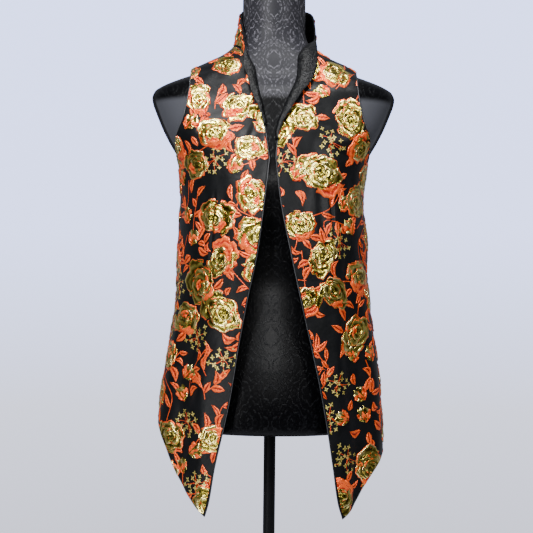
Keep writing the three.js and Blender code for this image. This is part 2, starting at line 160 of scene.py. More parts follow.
def lengths(points):
    """Distance along each row of a grid of points."""
    steps = np.linalg.norm(np.diff(points, axis=1), axis=-1)
    return np.concatenate([np.zeros((len(points), 1)), np.cumsum(steps, axis=1)], 1)


# Height, half width, depth to the front and to the back, superellipse power.
form_rings = table([
    [438, 152, 103, 104, 2.2], [444, 157, 107, 108, 2.2], [480, 160, 110, 112, 2.2],
    [530, 155, 107, 112, 2.2], [600, 135, 97, 98, 2.2], [660, 120, 90, 84, 2.2],
    [710, 124, 95, 84, 2.2], [770, 134, 108, 91, 2.2], [825, 142, 117, 97, 2.3],
    [856, 149, 115, 99, 2.5], [888, 166, 110, 99, 2.8], [907, 175.5, 104, 99, 2.8],
    [930, 185, 96, 97, 2.8], [945, 190.5, 91, 95, 2.8], [954, 192, 87, 93, 2.8],
    [963.5, 188.5, 82, 88, 2.8], [969.5, 180, 80, 86, 2.8], [975.5, 168, 78, 84, 2.7],
    [981.5, 153, 75.5, 82, 2.6], [989, 134, 72, 78, 2.4], [997, 119, 69, 75, 2.3],
    [1007.5, 101, 65, 71, 2.2], [1017, 86, 61, 67, 2.2], [1027.5, 71, 57, 62, 2.1],
    [1038.5, 60, 53, 58, 2.1], [1052, 52.5, 50, 55, 2.0], [1066, 50, 48, 52, 2.0],
    [1118, 50, 48, 52, 2.0], [1126, 48, 45.5, 49.5, 2.0], [1130, 46, 43.5, 47.5, 2.0],
])


def add_mesh(name, points, faces, material, uv=None):
    """A smooth-shaded mesh from points in millimetres."""
    mesh = bpy.data.meshes.new(name)
    faces = faces if isinstance(faces, list) else faces.tolist()
    mesh.from_pydata((np.asarray(points) * mm).tolist(), [], faces)
    mesh.shade_smooth()
    if uv is not None:
        corners = np.zeros(len(mesh.loops), int)
        mesh.loops.foreach_get("vertex_index", corners)
        mesh.uv_layers.new(name="flat").data.foreach_set("uv", (uv[corners] * mm).ravel())
    mesh.materials.append(material)
    made = bpy.data.objects.new(name, mesh)
    bpy.context.collection.objects.link(made)
    return made


def declare(piece, stands_for=None):
    """Hides the solid that a piece stands for, if one is given, and attaches the piece to the root body."""
    if stands_for:
        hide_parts(stands_for)
    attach(piece, "root")


def finish_material(name, build):
    made = bpy.data.materials.new(name)
    made.use_nodes = True
    made.node_tree.nodes.clear()
    add = partial(node, made.node_tree)
    add("OutputMaterial", [build(add)])
    return made


def form_cloth(add):
    """Damask: a lace figure in fine lines, mirrored about the centre front."""
    cell_width, cell_height = 0.062, 0.084
    flat = add("UVMap", uv_map="flat")
    drift = add("TexNoise", {"Vector": flat, "Scale": 60, "Detail": 1})
    waver = add("TexNoise", {"Vector": flat, "Scale": 230, "Detail": 1})
    shaken = add("VectorMath", [waver.outputs["Color"], (0.004, 0.004, 0)], "MULTIPLY")
    place = add("SeparateXYZ", [add("VectorMath", [flat, shaken])]).outputs
    a = add("Math", [place["X"], 2 * math.pi / cell_width], "MULTIPLY")
    b = add("Math", [place["Y"], 2 * math.pi / cell_height], "MULTIPLY")
    ogee = add("Math", [add("Math", [a], "COSINE"), add("Math", [b], "COSINE")])
    # The outline: broken rings that follow the ogee, with small scallops.
    scallops = add("Math", [add("Math", [add("Math", [a, 5], "MULTIPLY")], "COSINE"), 0.16], "MULTIPLY")
    figure = add("Math", [drift, 0.5, add("Math", [ogee, scallops])], "MULTIPLY_ADD")
    rings = add("Math", [figure, 0.4], "PINGPONG")
    line = add("MapRange", [rings, 0.03, 0.11, 1, 0], interpolation_type="SMOOTHSTEP")
    broken = add("MapRange", [waver, 0.4, 0.55], interpolation_type="SMOOTHSTEP")
    outline = add("Math", [line, broken], "MULTIPLY")
    # The filling: small petals in a band between the rings.
    halfway = add("Math", [add("Math", [ogee, 0.25]), 0.5], "PINGPONG")
    band = add("MapRange", [halfway, 0.2, 0.3], interpolation_type="SMOOTHSTEP")
    fine_a = add("Math", [add("Math", [a, 7], "MULTIPLY")], "SINE")
    bent_b = add("Math", [b, 9, add("Math", [drift, 9], "MULTIPLY")], "MULTIPLY_ADD")
    petals = add("Math", [fine_a, add("Math", [bent_b], "SINE")], "MULTIPLY")
    filled = add("MapRange", [petals, 0, 0.5], interpolation_type="SMOOTHSTEP")
    lace = add("Math", [add("Math", [filled, band], "MULTIPLY"), 0.3, outline], "MULTIPLY_ADD")
    neck, plain, rim = [
        add("Attribute", attribute_name=mark).outputs["Fac"] for mark in ("neck", "plain", "rim")
    ]
    pattern = add("Math", [lace, add("Math", [1, plain], "SUBTRACT")], "MULTIPLY")
    threads = add("TexNoise", {"Vector": flat, "Scale": 700, "Detail": 2})
    relief = add("Math", [threads, 0.3, pattern], "MULTIPLY_ADD")
    shown = add("ValToRGB", [pattern], stops=[(0, "#020203"), (1, "#0B0C0E")])
    neck_cloth_and_painted_sheen = add("ValToRGB", [pattern], stops=[(0, "#1F1F23"), (1, "#504F55")]).outputs[0]
    # Painted sheen: the neck's paler grey is partly a paler cloth, partly painted sheen; the plain cloth's
    # grey is partly painted satin sheen.
    for mark, colour in ((neck, neck_cloth_and_painted_sheen), (plain, linear("#3A3B40")), (rim, linear("#040405"))):
        shown = add("Mix", {0: mark, 6: shown, 7: colour}, data_type="RGBA").outputs[2]
    rough = add("Math", [pattern, 0.1, add("Math", [rim, 0.3, 0.31], "MULTIPLY_ADD")], "MULTIPLY_ADD")
    return add("BsdfPrincipled", {
        "Base Color": shown,
        "Roughness": add("Math", [neck, 0.15, rough], "MULTIPLY_ADD"),
        "Normal": add("Bump", {"Strength": 0.3, "Distance": 0.0005, "Height": relief}),
        "Specular IOR Level": 0.11,
    })


form_black = finish_material("form_cloth", form_cloth)


def ellipse_ring(z, side, front, back, power, segments):
    """Points round a superellipse at a height, anticlockwise from the wearer's left."""
    angle = np.arange(segments) * 2 * np.pi / segments
    c, s = np.cos(angle), np.sin(angle)
    x = np.sign(c) * side * np.abs(c) ** (2 / power)
    y = np.sign(s) * np.where(s < 0, front, back) * np.abs(s) ** (2 / power)
    return np.stack([x, y, np.full(segments, z)], 1)


def ring_faces(rings, segments):
    """Faces between rings of points, with both ends shut."""
    i = np.arange(segments)
    j = (i + 1) % segments
    lower = segments * np.arange(rings - 1)[:, None]
    quads = np.stack([lower + i, lower + j, lower + segments + j, lower + segments + i], -1)
    last = (rings - 1) * segments
    return quads.reshape(-1, 4).tolist() + [i[::-1].tolist(), (i + last).tolist()]


segments = 240
socket_radius, socket_top, torso_bottom, neck_end = 9.8, 498, 438, 1130
form_tracks = [track(form_rings[:, 0], form_rings[:, i]) for i in range(1, 5)]
heights = np.concatenate([
    np.linspace(torso_bottom, 444, 4), np.linspace(450, 940, 84), np.linspace(943, neck_end, 90)
])
rings = [ellipse_ring(z, *[socket_radius] * 3, 2, segments) for z in (socket_top, torso_bottom)]
rings += [ellipse_ring(z, *[f(z) for f in form_tracks], segments) for z in heights]
neck_top = rings[-1]
for inset, lift in ((0.96, 1.2), (0.85, 2.0), (0.4, 2.4)):
    rings.append(neck_top * [inset, inset, 1] + [0, 0, lift])
faces = ring_faces(len(rings), segments)
rings = np.array(rings)
# The cloth's flat place: distance round from the centre front, and height.
front = 3 * segments // 4
arcs = lengths(np.roll(rings, segments - front, axis=1)[:, : segments // 2 + 1])
from_front = np.abs((np.arange(segments) - front + segments // 2) % segments - segments // 2)
places = rings.reshape(-1, 3)
form_flat = np.stack([arcs[:, from_front].ravel(), places[:, 2]], 1)
form_body = add_mesh("dress_form_cloth", places, faces, form_black, form_flat)


def step_up(value, start, run):
    return np.clip((value - start) / run, 0, 1)


# Where the paler neck, the plain cloth of the arm ends and neck top, and the dark rims round the arm ends
# show.
# The neck's paler grey is partly a paler cloth and partly a painted sheen; the plain cloth's
# lighter grey is partly its own colour and partly a painted satin sheen.
x, height = np.abs(places[:, 0]), places[:, 2]
share = x / form_tracks[0](height)
marks = {
    "neck": step_up(height, 942, 6) * np.maximum(step_up(-x, -62, 8), step_up(height, 1015, 15)),
    "plain": step_up(share, 0.6, 0.05) * step_up(-height, -948, 7) + (height > neck_end - 2),
    "rim": step_up(share, 0.955, 0.01) * step_up(height, 800, 10) * (height < 985),
}
for mark, values in marks.items():
    form_body.data.attributes.new(mark, "FLOAT", "POINT").data.foreach_set("value", values)
declare(form_body, "dress_form")

# ------------------------------------------------------------ pole and base
# A black painted steel pole, from the raised hub of its foot into the torso's
# socket. The foot is a round plate, thin at its rounded rim.


def painted_steel(add):
    """Satin black stove enamel: even, with a faint orange peel."""
    place = add("TexCoord").outputs["Object"]
    orange_peel = add("TexNoise", {"Vector": place, "Scale": 700, "Detail": 2})
    wear = add("TexNoise", {"Vector": place, "Scale": 18, "Detail": 4})
    return add("BsdfPrincipled", {
        "Base Color": linear("#060607"),
        "Roughness": add("MapRange", [wear, 0, 1, 0.34, 0.5]),
        "Normal": add("Bump", {"Strength": 0.12, "Distance": 0.0004, "Height": orange_peel}),
        "Specular IOR Level": 0.12,
    })


stand_black = finish_material("painted_steel", painted_steel)


def turned_piece(name, profile):
    """A piece turned from a profile of radius and height, with crisp corners."""
    segments = 96
    rings = [ellipse_ring(z, r, r, r, 2, segments) for r, z in profile]
    made = add_mesh(name, np.concatenate(rings), ring_faces(len(rings), segments), stand_black)
    made.data.set_sharp_from_angle(angle=math.radians(40))
    return made


pole = turned_piece("steel_pole", [(9, 6.3), (9.5, 6.8), (9.5, 497.2), (9, 497.7)])
foot = turned_piece("steel_foot", [
    (137, 0), (139.2, 0.4), (140, 1.4), (140, 5), (139.3, 6.3), (137.5, 7.6), (134, 8.9),
    (100, 9.6), (30, 11), (25, 11.8), (22.6, 13.5), (22, 16), (22, 28), (21.4, 29.4), (20, 30),
    (11, 30), (10.2, 29.6), (9.85, 28.8), (9.85, 6),
])
declare(pole, "pole")
declare(foot, "base")

# ------------------------------------------------------------ vest fronts
# Each front is a thin shell on its solid's form: it hangs from the chest below
# the underarm and lies on the form above it, with folds, waist darts and creases.

# Height, half width on the wearer's right and left, depth to the front and back.
hang_rings = table([
    [320, 179, 179, 134, 120], [400, 178.5, 178.5, 134, 120], [438, 177.5, 177.5, 133, 120],
    [473, 174, 175, 132, 119], [528, 167, 170, 131, 118], [579, 158, 163, 130, 114],
    [630, 151.5, 155.5, 130, 109], [680, 148.5, 150.5, 131, 105], [716, 148, 150.5, 132, 104],
    [756, 146.5, 147, 131, 104], [796, 145, 143, 127, 104], [848, 148.3, 148.3, 120, 101.5],
])
# Height, and how far the cloth lies outside the form at the side, front and back.
yoke_ease = table([
    [856, 1.6, 3.2, 2.0], [888, 2.4, 2.2, 1.2], [907, 1.6, 1.2, 0.9], [930, 1.0, 0.9, 1.0],
    [945, 1.0, 1.3, 2.4], [954, 1.0, 1.8, 3.6], [963.5, 1.6, 1.8, 3.6], [975.5, 4, 2.0, 3.2],
    [989, 9, 2.4, 2.8], [997, 13.5, 3, 3], [1007.5, 12.5, 3, 3], [1017, 6, 2.6, 2.6],
    [1027.5, 4.5, 2, 2], [1038.5, 3, 1.5, 1.5], [1052, 2, 1.2, 1.2],
])
underarm = 848
# Half the gap at a seam, the cloth's thickness, and how far the inner face of each
# layer stands outside the surface that it is laid on.
half_gap, cloth_thickness = 0.25, 0.8
panel_offset, collar_offset, facing_offset = 0.3, 0.1, -1.3
yoke = form_rings[(form_rings[:, 0] > underarm) & (form_rings[:, 0] <= 1052)]
ring_z = np.concatenate([hang_rings[:, 0], yoke[:, 0]])
ease = [track(yoke_ease[:, 0], yoke_ease[:, i])(yoke[:, 0]) for i in (1, 2, 3)]
right_width, left_width, front_depth, back_depth = [
    track(ring_z, np.concatenate([hang_rings[:, column], yoke[:, i + 1] + ease[i]]))
    for column, i in ((1, 0), (2, 0), (3, 1), (4, 2))
]
power_at = form_tracks[3]


def cloth_reach(x, y, z):
    """The cloth's half width and depth at a height, on the point's own sides."""
    width = np.where(x > 0, left_width(z), right_width(z))
    return width, np.where(y < 0, front_depth(z), back_depth(z))


def fullness(p):
    """1 on the unfolded cloth, less inside it and more outside."""
    width, depth = cloth_reach(p[..., 0], p[..., 1], p[..., 2])
    power = power_at(p[..., 2])
    return (np.abs(p[..., 0]) / width) ** power + (np.abs(p[..., 1]) / depth) ** power


def unit(v):
    return v / np.maximum(np.linalg.norm(v, axis=-1, keepdims=True), 1e-9)


def quarter_turn(v):
    return np.array([-v[1], v[0]])


def cloth_normal(p):
    """The way out of the cloth."""
    steps = np.eye(3) * 0.5
    return unit(np.stack([fullness(p + d) - fullness(p - d) for d in steps], -1))


def onto_cloth(points):
    """Moves points onto the unfolded cloth, along lines that start inside the chest."""
    chest, spread, halvings = 880, 0.7, 32
    start = points * [spread, 0, 0] + [0, 0, chest]
    ray = points - start
    inside = np.full(points.shape[:-1] + (1,), 0.3)
    outside = np.full_like(inside, 2)
    for _ in range(halvings):
        middle = (inside + outside) / 2
        within = (fullness(start + ray * middle) < 1)[..., None]
        inside, outside = np.where(within, middle, inside), np.where(within, outside, middle)
    return start + ray * inside


# Angle, width and depth of each vertical fold and the height where it begins.
folds = [
    (-138, 9, 7, 760), (-156, 10, -4, 740), (-114, 8, 3, 700), (-42, 9, 7, 760), (-24, 10, -4, 740),
    (-66, 8, 3, 700), (62, 9, 6, 720), (90, 12, -3, 720), (118, 9, 6, 720),
]


def smooth(t):
    t = np.clip(t, 0, 1)
    return t * t * (3 - 2 * t)


def ring_point(angle, z):
    """A point of the unfolded cloth, at an angle round the body in degrees."""
    c, s = np.cos(np.radians(angle)), np.sin(np.radians(angle))
    width, depth = cloth_reach(c, s, z)
    power = 2 / power_at(z)
    x = np.sign(c) * width * np.abs(c) ** power
    return np.stack([x, np.sign(s) * depth * np.abs(s) ** power, z + 0 * x], -1)


def cloth_point(angle, z):
    """The cloth's inner face, with its folds."""
    p = ring_point(angle, z)
    turned = np.where(angle < -180, angle + 360, angle)
    drawn = sum(
        deep * smooth((start - z) / 260) * np.exp(-(((turned - at) / wide) ** 2))
        for at, wide, deep, start in folds
    )
    return p - cloth_normal(p) * drawn[..., None]


def cloth_angle(p):
    """The angle round the body of points on the cloth."""
    width, depth = cloth_reach(p[..., 0], p[..., 1], p[..., 2])
    half = power_at(p[..., 2]) / 2
    c = np.sign(p[..., 0]) * (np.abs(p[..., 0]) / width) ** half
    s = np.sign(p[..., 1]) * (np.abs(p[..., 1]) / depth) ** half
    return np.degrees(np.arctan2(s, c))


def rounded(points):
    """A function for a smooth curve through points, centripetal, from 0 to 1."""
    points = np.asarray(points, float)
    ends = np.vstack([2 * points[0] - points[1], points, 2 * points[-1] - points[-2]])

    def value(t):
        place = np.clip(np.asarray(t, float), 0, 1) * (len(points) - 1)
        i = np.minimum(place.astype(int), len(points) - 2)
        w = (place - i)[..., None]
        p0, p1, p2, p3 = [ends[i + k] for k in range(4)]
        d0, d1, d2 = [
            np.maximum(np.linalg.norm(b - a, axis=-1, keepdims=True), 1e-6) ** 0.5
            for a, b in ((p0, p1), (p1, p2), (p2, p3))
        ]
        t1 = ((p1 - p0) / d0 - (p2 - p0) / (d0 + d1) + (p2 - p1) / d1) * d1
        t2 = ((p2 - p1) / d1 - (p3 - p1) / (d1 + d2) + (p3 - p2) / d2) * d1
        return p1 + t1 * w + (3 * (p2 - p1) - 2 * t1 - t2) * w**2 + (2 * (p1 - p2) + t1 + t2) * w**3

    return value


def even(points, count):
    """Points spaced evenly along the smooth curve through the given ones."""
    fine = rounded(points)(np.linspace(0, 1, 40 * len(points)))
    length = lengths(fine[None])[0]
    at = np.linspace(0, length[-1], count)
    return np.stack([np.interp(at, length, fine[:, i]) for i in range(3)], 1)


# The collar's root on the cloth, how far it rises before it turns, its free edge.
collar_stations = table([
    [3.7, -116, 876, 2.5, 7.2, -119.5, 877], [3.9, -112, 889, 4, 9, -116.5, 888],
    [7.4, -106, 905.6, 5.5, 15.2, -111.5, 906], [14.2, -100, 922.3, 6.5, 24, -106.5, 920.5],
    [21, -94, 939.8, 7, 33.3, -101.5, 936.5], [27.7, -88, 955.2, 8, 42.5, -97, 951],
    [34.8, -81, 973.9, 9, 55.5, -88.5, 968.5], [37, -72, 997, 11, 64, -77, 991],
    [38, -64, 1014, 11, 66.2, -62, 1013], [48, -46, 1033, 8, 66, -43.5, 1033],
    [57, -24, 1038, 4, 65.4, -27, 1048], [62, 4, 1042, 5, 65, -7, 1071],
    [54, 34, 1045, 12, 61, 18, 1098], [30, 58, 1046, 14, 41, 50, 1114],
    [0, 66, 1047, 14, 0, 63, 1117], [-30, 58, 1046, 12, -30, 55, 1113],
    [-54, 34, 1045, 6, -46.8, 28, 1106], [-63, 4, 1042, 1, -52, 2, 1095],
    [-60, -24, 1037, 3, -50.5, -24, 1073], [-51, -44, 1031, 4, -46.5, -45, 1050],
    [-40, -66, 1013, 6, -45, -65, 1028], [-30, -75, 995, 8, -45.6, -81, 994],
    [-27, -80, 976.7, 7.5, -40.6, -86, 979], [-24.1, -86, 961.7, 7, -36.2, -92.5, 961.5],
    [-21.2, -92, 947.3, 6.5, -30.7, -99, 944], [-17, -97, 932.7, 6, -23.7, -104, 930],
    [-13.8, -102, 916, 4, -18.2, -108.5, 914], [-10.5, -106, 900, 2.5, -14.2, -111.5, 899],
])
# The collar's stations at the shoulder seams, on the wearer's left and right.
left_station, right_station, last_station = 10, 18, len(collar_stations) - 1
roots = onto_cloth(collar_stations[:, :3])
roots = roots + cloth_normal(roots)
root_curve = rounded(roots)


def neckline(first, last, count):
    """The panels' edge beside the collar's root, between two stations."""
    clearance = 2.5
    t = np.linspace(first, last, count) / last_station
    p = root_curve(t)
    along = root_curve(t + 0.001) - root_curve(t - 0.001)
    return onto_cloth(p + clearance * unit(np.cross(along, cloth_normal(p))))


def shoulder_seam(side, ahead, count):
    """A panel's edge from the armhole to the neck; ahead is -1 for a front, 1 for the back."""
    neck = neckline(left_station if side > 0 else right_station, 0, 2)[0]
    points = np.array([[side * 130, -4, 996], [side * 93, -29, 1012], neck])
    return onto_cloth(even(points, count) + [0, ahead * half_gap, 0])


armholes = {
    -1: table([
        [146.5, -33, 858], [143, -50, 870], [138, -62, 885], [131.5, -72, 905],
        [129, -76, 925], [126.5, -75, 950], [127, -65, 975], [129, -36, 994],
    ]),
    1: table([
        [146.5, 35, 858], [144, 48, 870], [139, 58, 890], [134, 66, 915],
        [130, 72, 945], [129, 68, 975], [130, 36, 994],
    ]),
}


def armhole_edge(side, ahead, start, end, count):
    """A panel's armhole, from the underarm to the shoulder seam."""
    middle = onto_cloth(armholes[ahead] * [side, 1, 1])
    return onto_cloth(even(np.vstack([start, middle, end]), count))


def patch(bottom, top, first, last):
    """A patch between four edges that meet at their ends, laid onto the cloth."""
    u = np.linspace(0, 1, len(bottom))[None, :, None]
    v = np.linspace(0, 1, len(first))[:, None, None]
    p = bottom[None] * (1 - v) + top[None] * v + first[:, None] * (1 - u) + last[:, None] * u
    p = p - (bottom[0] * (1 - u) + bottom[-1] * u) * (1 - v) - (top[0] * (1 - u) + top[-1] * u) * v
    return np.concatenate([bottom[None], onto_cloth(p)[1:]])


# Height, and x of the centre-front edge on the wearer's right and left.
front_edges = table([
    [320, -96, 108], [342.5, -90, 101.3], [393.5, -81.7, 93.4], [447, -69.9, 85.4],
    [495.5, -59.6, 76.3], [568, -48.2, 60.5], [641, -35.2, 42.8], [714, -20.7, 26.4],
    [787, -11.9, 11.5], [848, -5.2, 4.2],
])
# Height, and how far each side seam lies behind the widest line.
side_seams = table([[320, 0, 25], [450, 0, 21], [650, 0, 11], [848, 0, 4]])
# Share of the way to the front point, and the hem's height on the right and left.
hems = table([
    [0, 454, 420], [0.15, 453, 412], [0.32, 440, 405.5], [0.45, 415.5, 398.5], [0.58, 382, 381],
    [0.7, 360, 359], [0.8, 346.5, 341], [0.9, 333.5, 328], [1, 322, 319],
])


def side_angle(side, z, ahead):
    """The angle round the body of a panel's edge at a side seam."""
    column = 2 if side > 0 else 1
    y = track(side_seams[:, 0], side_seams[:, column])(z) + ahead * half_gap
    depth = np.where(y < 0, front_depth(z), back_depth(z))
    degrees = np.sign(y) * np.degrees(np.arcsin((np.abs(y) / depth) ** (power_at(z) / 2)))
    return degrees if side > 0 else 180 - degrees


def front_angle(x, z):
    """The angle round the body of a point of the centre-front edge."""
    width = np.where(x > 0, left_width(z), right_width(z))
    degrees = np.degrees(np.arccos((np.abs(x) / width) ** (power_at(z) / 2)))
    return np.where(x < 0, degrees - 180, -degrees)


def front_grid(side, hang_rows, yoke_rows, columns):
    """A front's inner face: rows from the hem up, columns from the side seam."""
    column = 2 if side > 0 else 1
    u = np.linspace(0, 1, columns)[None, :]
    v = np.linspace(0, 1, hang_rows)[:, None]
    z = track(hems[:, 0], hems[:, column])(u) * (1 - v) + underarm * v
    start = side_angle(side, z, -1) - 360 * (side < 0)
    end = front_angle(track(front_edges[:, 0], front_edges[:, column])(z), z)
    hang = cloth_point(start * (1 - u) + end * u, z)
    top = shoulder_seam(side, -1, columns)
    ends = (0, left_station) if side > 0 else (last_station, right_station)
    edge = neckline(*ends, 60)
    edge[-1] = top[-1]
    centre = even(np.vstack([hang[-1, -1], edge]), yoke_rows)
    arm = armhole_edge(side, -1, hang[-1, 0], top[0], yoke_rows)
    return np.concatenate([hang, patch(hang[-1], top, arm, centre)[1:]])


def shell(name, inner, material, offset, uv=None, outwards=None):
    """A thin closed shell, offset outwards from a grid."""
    rows, columns = inner.shape[:2]
    normal = cloth_normal(inner) if outwards is None else outwards
    layers = np.stack([inner + normal * offset, inner + normal * (offset + cloth_thickness)])
    points = layers.reshape(-1, 3)
    a = np.arange(rows * columns).reshape(rows, columns)
    quads = np.stack([a[:-1, :-1], a[:-1, 1:], a[1:, 1:], a[1:, :-1]], -1).reshape(-1, 4)
    rim = np.concatenate([a[0, :-1], a[:-1, -1], a[-1, :0:-1], a[:0:-1, 0]])
    following = np.roll(rim, -1)
    size = rows * columns
    edge = np.stack([rim, following, following + size, rim + size], 1)
    faces = np.concatenate([quads[:, ::-1], quads + size, edge])
    if np.einsum("i,i", np.cross(inner[1, 1] - inner[0, 0], inner[0, 1] - inner[1, 0]), normal[0, 0]) < 0:
        faces = faces[:, ::-1]
    flat = None if uv is None else np.tile(uv.reshape(-1, 2), (2, 1))
    return add_mesh(name, points, faces, material, flat)


# Flat places on each front in millimetres: s runs round the body from the centre
# front, t up the cloth from the underarm. Charts turn them to places on the body.
chart_step, angle_step = 3, 1.5
chart_z, chart_theta = np.arange(312.0, 1046, chart_step), np.arange(0.0, 136, angle_step)
chart_s, chart_t = np.arange(0.0, 300, chart_step), np.arange(-560.0, 262, chart_step)


def bilinear(grid, row, column):
    """A grid's value between its points."""
    row = np.clip(row, 0, grid.shape[0] - 1.001)
    column = np.clip(column, 0, grid.shape[1] - 1.001)
    i, j = row.astype(int), column.astype(int)
    u, v = row - i, column - j
    low = grid[i, j] * (1 - v) + grid[i, j + 1] * v
    return low * (1 - u) + (grid[i + 1, j] * (1 - v) + grid[i + 1, j + 1] * v) * u


charts = {}
for side in (-1, 1):
    arcs = lengths(ring_point(-90 + side * chart_theta[None], chart_z[:, None]))
    theta = np.stack([np.interp(chart_s, arc, chart_theta) for arc in arcs])
    rises = lengths(ring_point(-90 + side * theta, chart_z[:, None]).transpose(1, 0, 2)).T
    rises -= np.stack([np.interp(underarm, chart_z, column) for column in rises.T])
    z_at = np.stack([np.interp(chart_t, column, chart_z) for column in rises.T], 1)
    theta_at = np.stack([np.interp(z, chart_z, col) for z, col in zip(z_at.T, theta.T)], 1)
    charts[side] = (arcs, rises, z_at, theta_at)


def flat_place(side, p):
    """s and t of points on a front."""
    arcs, rises = charts[side][:2]
    theta = (side * (cloth_angle(p) + 90) + 180) % 360 - 180
    row = (p[..., 2] - chart_z[0]) / chart_step
    s = bilinear(arcs, row, theta / angle_step)
    return np.stack([s, bilinear(rises, row, s / chart_step)], -1)


def dip(line, place, across, deep):
    """A crease along a straight line of the flat cloth, fading towards its ends."""
    start, span = np.array(line[:2]), np.subtract(line[2:], line[:2])
    length = np.linalg.norm(span)
    along = span / length
    share = (place - start) @ along / length
    off = (place - start) @ quarter_turn(along)
    fade = smooth(share / 0.25) * smooth((1 - share) / 0.3)
    return -deep * fade * np.exp(-((off / across) ** 2))


# Creases of each front: s and t of both ends, half width and depth.
creases = {
    -1: [
        ((88, -40, 96, -165), 2.2, 2.6), ((74, -30, 86, -190), 9, 2.0), ((108, -60, 118, -210), 9, 1.8),
        ((14, 88, 42, 12), 4, 1.6), ((118, 40, 60, 66), 6, 1.4), ((124, 8, 70, 20), 6, 1.3),
        ((52, -220, 70, -330), 10, 1.6), ((120, -250, 132, -380), 10, 1.8),
    ],
    1: [
        ((86, -20, 98, -140), 2.2, 2.6), ((70, -20, 84, -170), 9, 2.0), ((112, -50, 122, -200), 9, 1.8),
        ((8, 40, 30, 30), 4, 1.6), ((118, 36, 66, 62), 6, 1.4), ((126, 4, 74, 22), 6, 1.3),
        ((46, -210, 66, -320), 10, 1.6), ((118, -260, 130, -390), 10, 1.8),
    ],
}


def wrinkle(side, place):
    """How far a front's creases and ripples lift it."""
    s, t = place[..., 0], place[..., 1]
    ripple = 0.35 * np.sin(0.21 * s + 0.05 * t + side) * np.sin(0.06 * t + 0.4 * side)
    return ripple + sum(dip(line, place, across, deep) for line, across, deep in creases[side])


def on_front(side, flat, lift):
    """Points of a front, lifted above its outer face."""
    lift = lift + (panel_offset + cloth_thickness)
    row, column = (flat[:, 1] - chart_t[0]) / chart_step, flat[:, 0] / chart_step
    z_at, theta_at = charts[side][2:]
    p = cloth_point(-90 + side * bilinear(theta_at, row, column), bilinear(z_at, row, column))
    return p + cloth_normal(p) * (lift + wrinkle(side, flat))[:, None]


def brocade_ground(add):
    """Black satin with a fine diagonal rib, puckered between the threads."""
    flat = add("UVMap", uv_map="flat")
    slub = add("TexNoise", {"Vector": flat, "Scale": 45, "Detail": 3})
    waves = {"Vector": flat, "Scale": 260, "Distortion": 1.5, "Detail": 1}
    rib = add("TexWave", waves, bands_direction="DIAGONAL").outputs["Fac"]
    cells = add("TexVoronoi", {"Vector": flat, "Scale": 130, "Randomness": 0.9})
    pucker = add("Math", [cells, 0.5, add("Math", [rib, 0.12, slub], "MULTIPLY_ADD")], "MULTIPLY_ADD")
    return add("BsdfPrincipled", {
        "Base Color": add("ValToRGB", [slub], stops=[(0.3, "#040506"), (0.7, "#0A0B0D")]),
        "Roughness": 0.42,
        "Normal": add("Bump", {"Strength": 0.5, "Distance": 0.0007, "Height": pucker}),
        "Specular IOR Level": 0.15,
    })


def turned_satin_painted_sheen(add):
    """The satin's smooth face where it is turned over an edge, painted a lighter grey than the ground: a
    painted sheen along the fold.
    """
    place = add("TexCoord").outputs["Object"]
    threads = add("TexNoise", {"Vector": place, "Scale": 500, "Detail": 2})
    return add("BsdfPrincipled", {
        "Base Color": add("ValToRGB", [threads], stops=[(0.3, "#1B1C1F"), (0.7, "#2C2D31")]),
        "Roughness": 0.4,
        "Normal": add("Bump", {"Strength": 0.3, "Distance": 0.0004, "Height": threads}),
    })


ground = finish_material("brocade_ground", brocade_ground)
# The rolled edges' satin is painted a lighter grey than the ground's: a painted sheen along each turned edge.
turned = finish_material("turned_satin_painted_sheen", turned_satin_painted_sheen)

# The roll: a path of points becomes a round tube of the turned cloth with shut ends.
roll_tree = bpy.data.node_groups.new("rolled_edge", "GeometryNodeTree")
for in_out, label, kind in (
    ("INPUT", "Path", "Geometry"), ("INPUT", "Radius", "Float"), ("INPUT", "Sides", "Int"),
    ("INPUT", "Cloth", "Material"), ("OUTPUT", "Roll", "Geometry"),
):
    roll_tree.interface.new_socket(label, in_out=in_out, socket_type="NodeSocket" + kind)
roll_inputs = {item.name: item.identifier for item in roll_tree.interface.items_tree}
add = partial(node, roll_tree)
given = add("NodeGroupInput").outputs
spine = add("GeometryNodeMeshToCurve", {"Mesh": given["Path"]})
sizes = {"Resolution": given["Sides"], "Radius": given["Radius"]}
section = add("GeometryNodeCurvePrimitiveCircle", sizes)
tube = add("GeometryNodeCurveToMesh", {"Curve": spine, "Profile Curve": section, "Fill Caps": True})
whole = add("GeometryNodeRealizeInstances", {"Geometry": tube})
covered = add("GeometryNodeSetMaterial", {"Geometry": whole, "Material": given["Cloth"]})
add("NodeGroupOutput", {"Roll": covered})


def rolled_edge(name, path, radius):
    """A thin roll of cloth along a panel's edge."""
    spine = bpy.data.meshes.new(name + "_path")
    middle = panel_offset + cloth_thickness / 2
    places = (path + cloth_normal(path) * middle) * mm
    spine.from_pydata(places.tolist(), [(i, i + 1) for i in range(len(path) - 1)], [])
    made = bpy.data.objects.new(name, spine)
    bpy.context.collection.objects.link(made)
    roll = made.modifiers.new("roll", "NODES")
    roll.node_group = roll_tree
    for label, value in (("Radius", radius * mm), ("Sides", 8), ("Cloth", turned)):
        roll[roll_inputs[label]] = value
    rolled = made.evaluated_get(bpy.context.evaluated_depsgraph_get())
    made.data = bpy.data.meshes.new_from_object(rolled)
    made.modifiers.clear()
    made.data.name = name
    made.data.shade_smooth()
    declare(made)
    return made


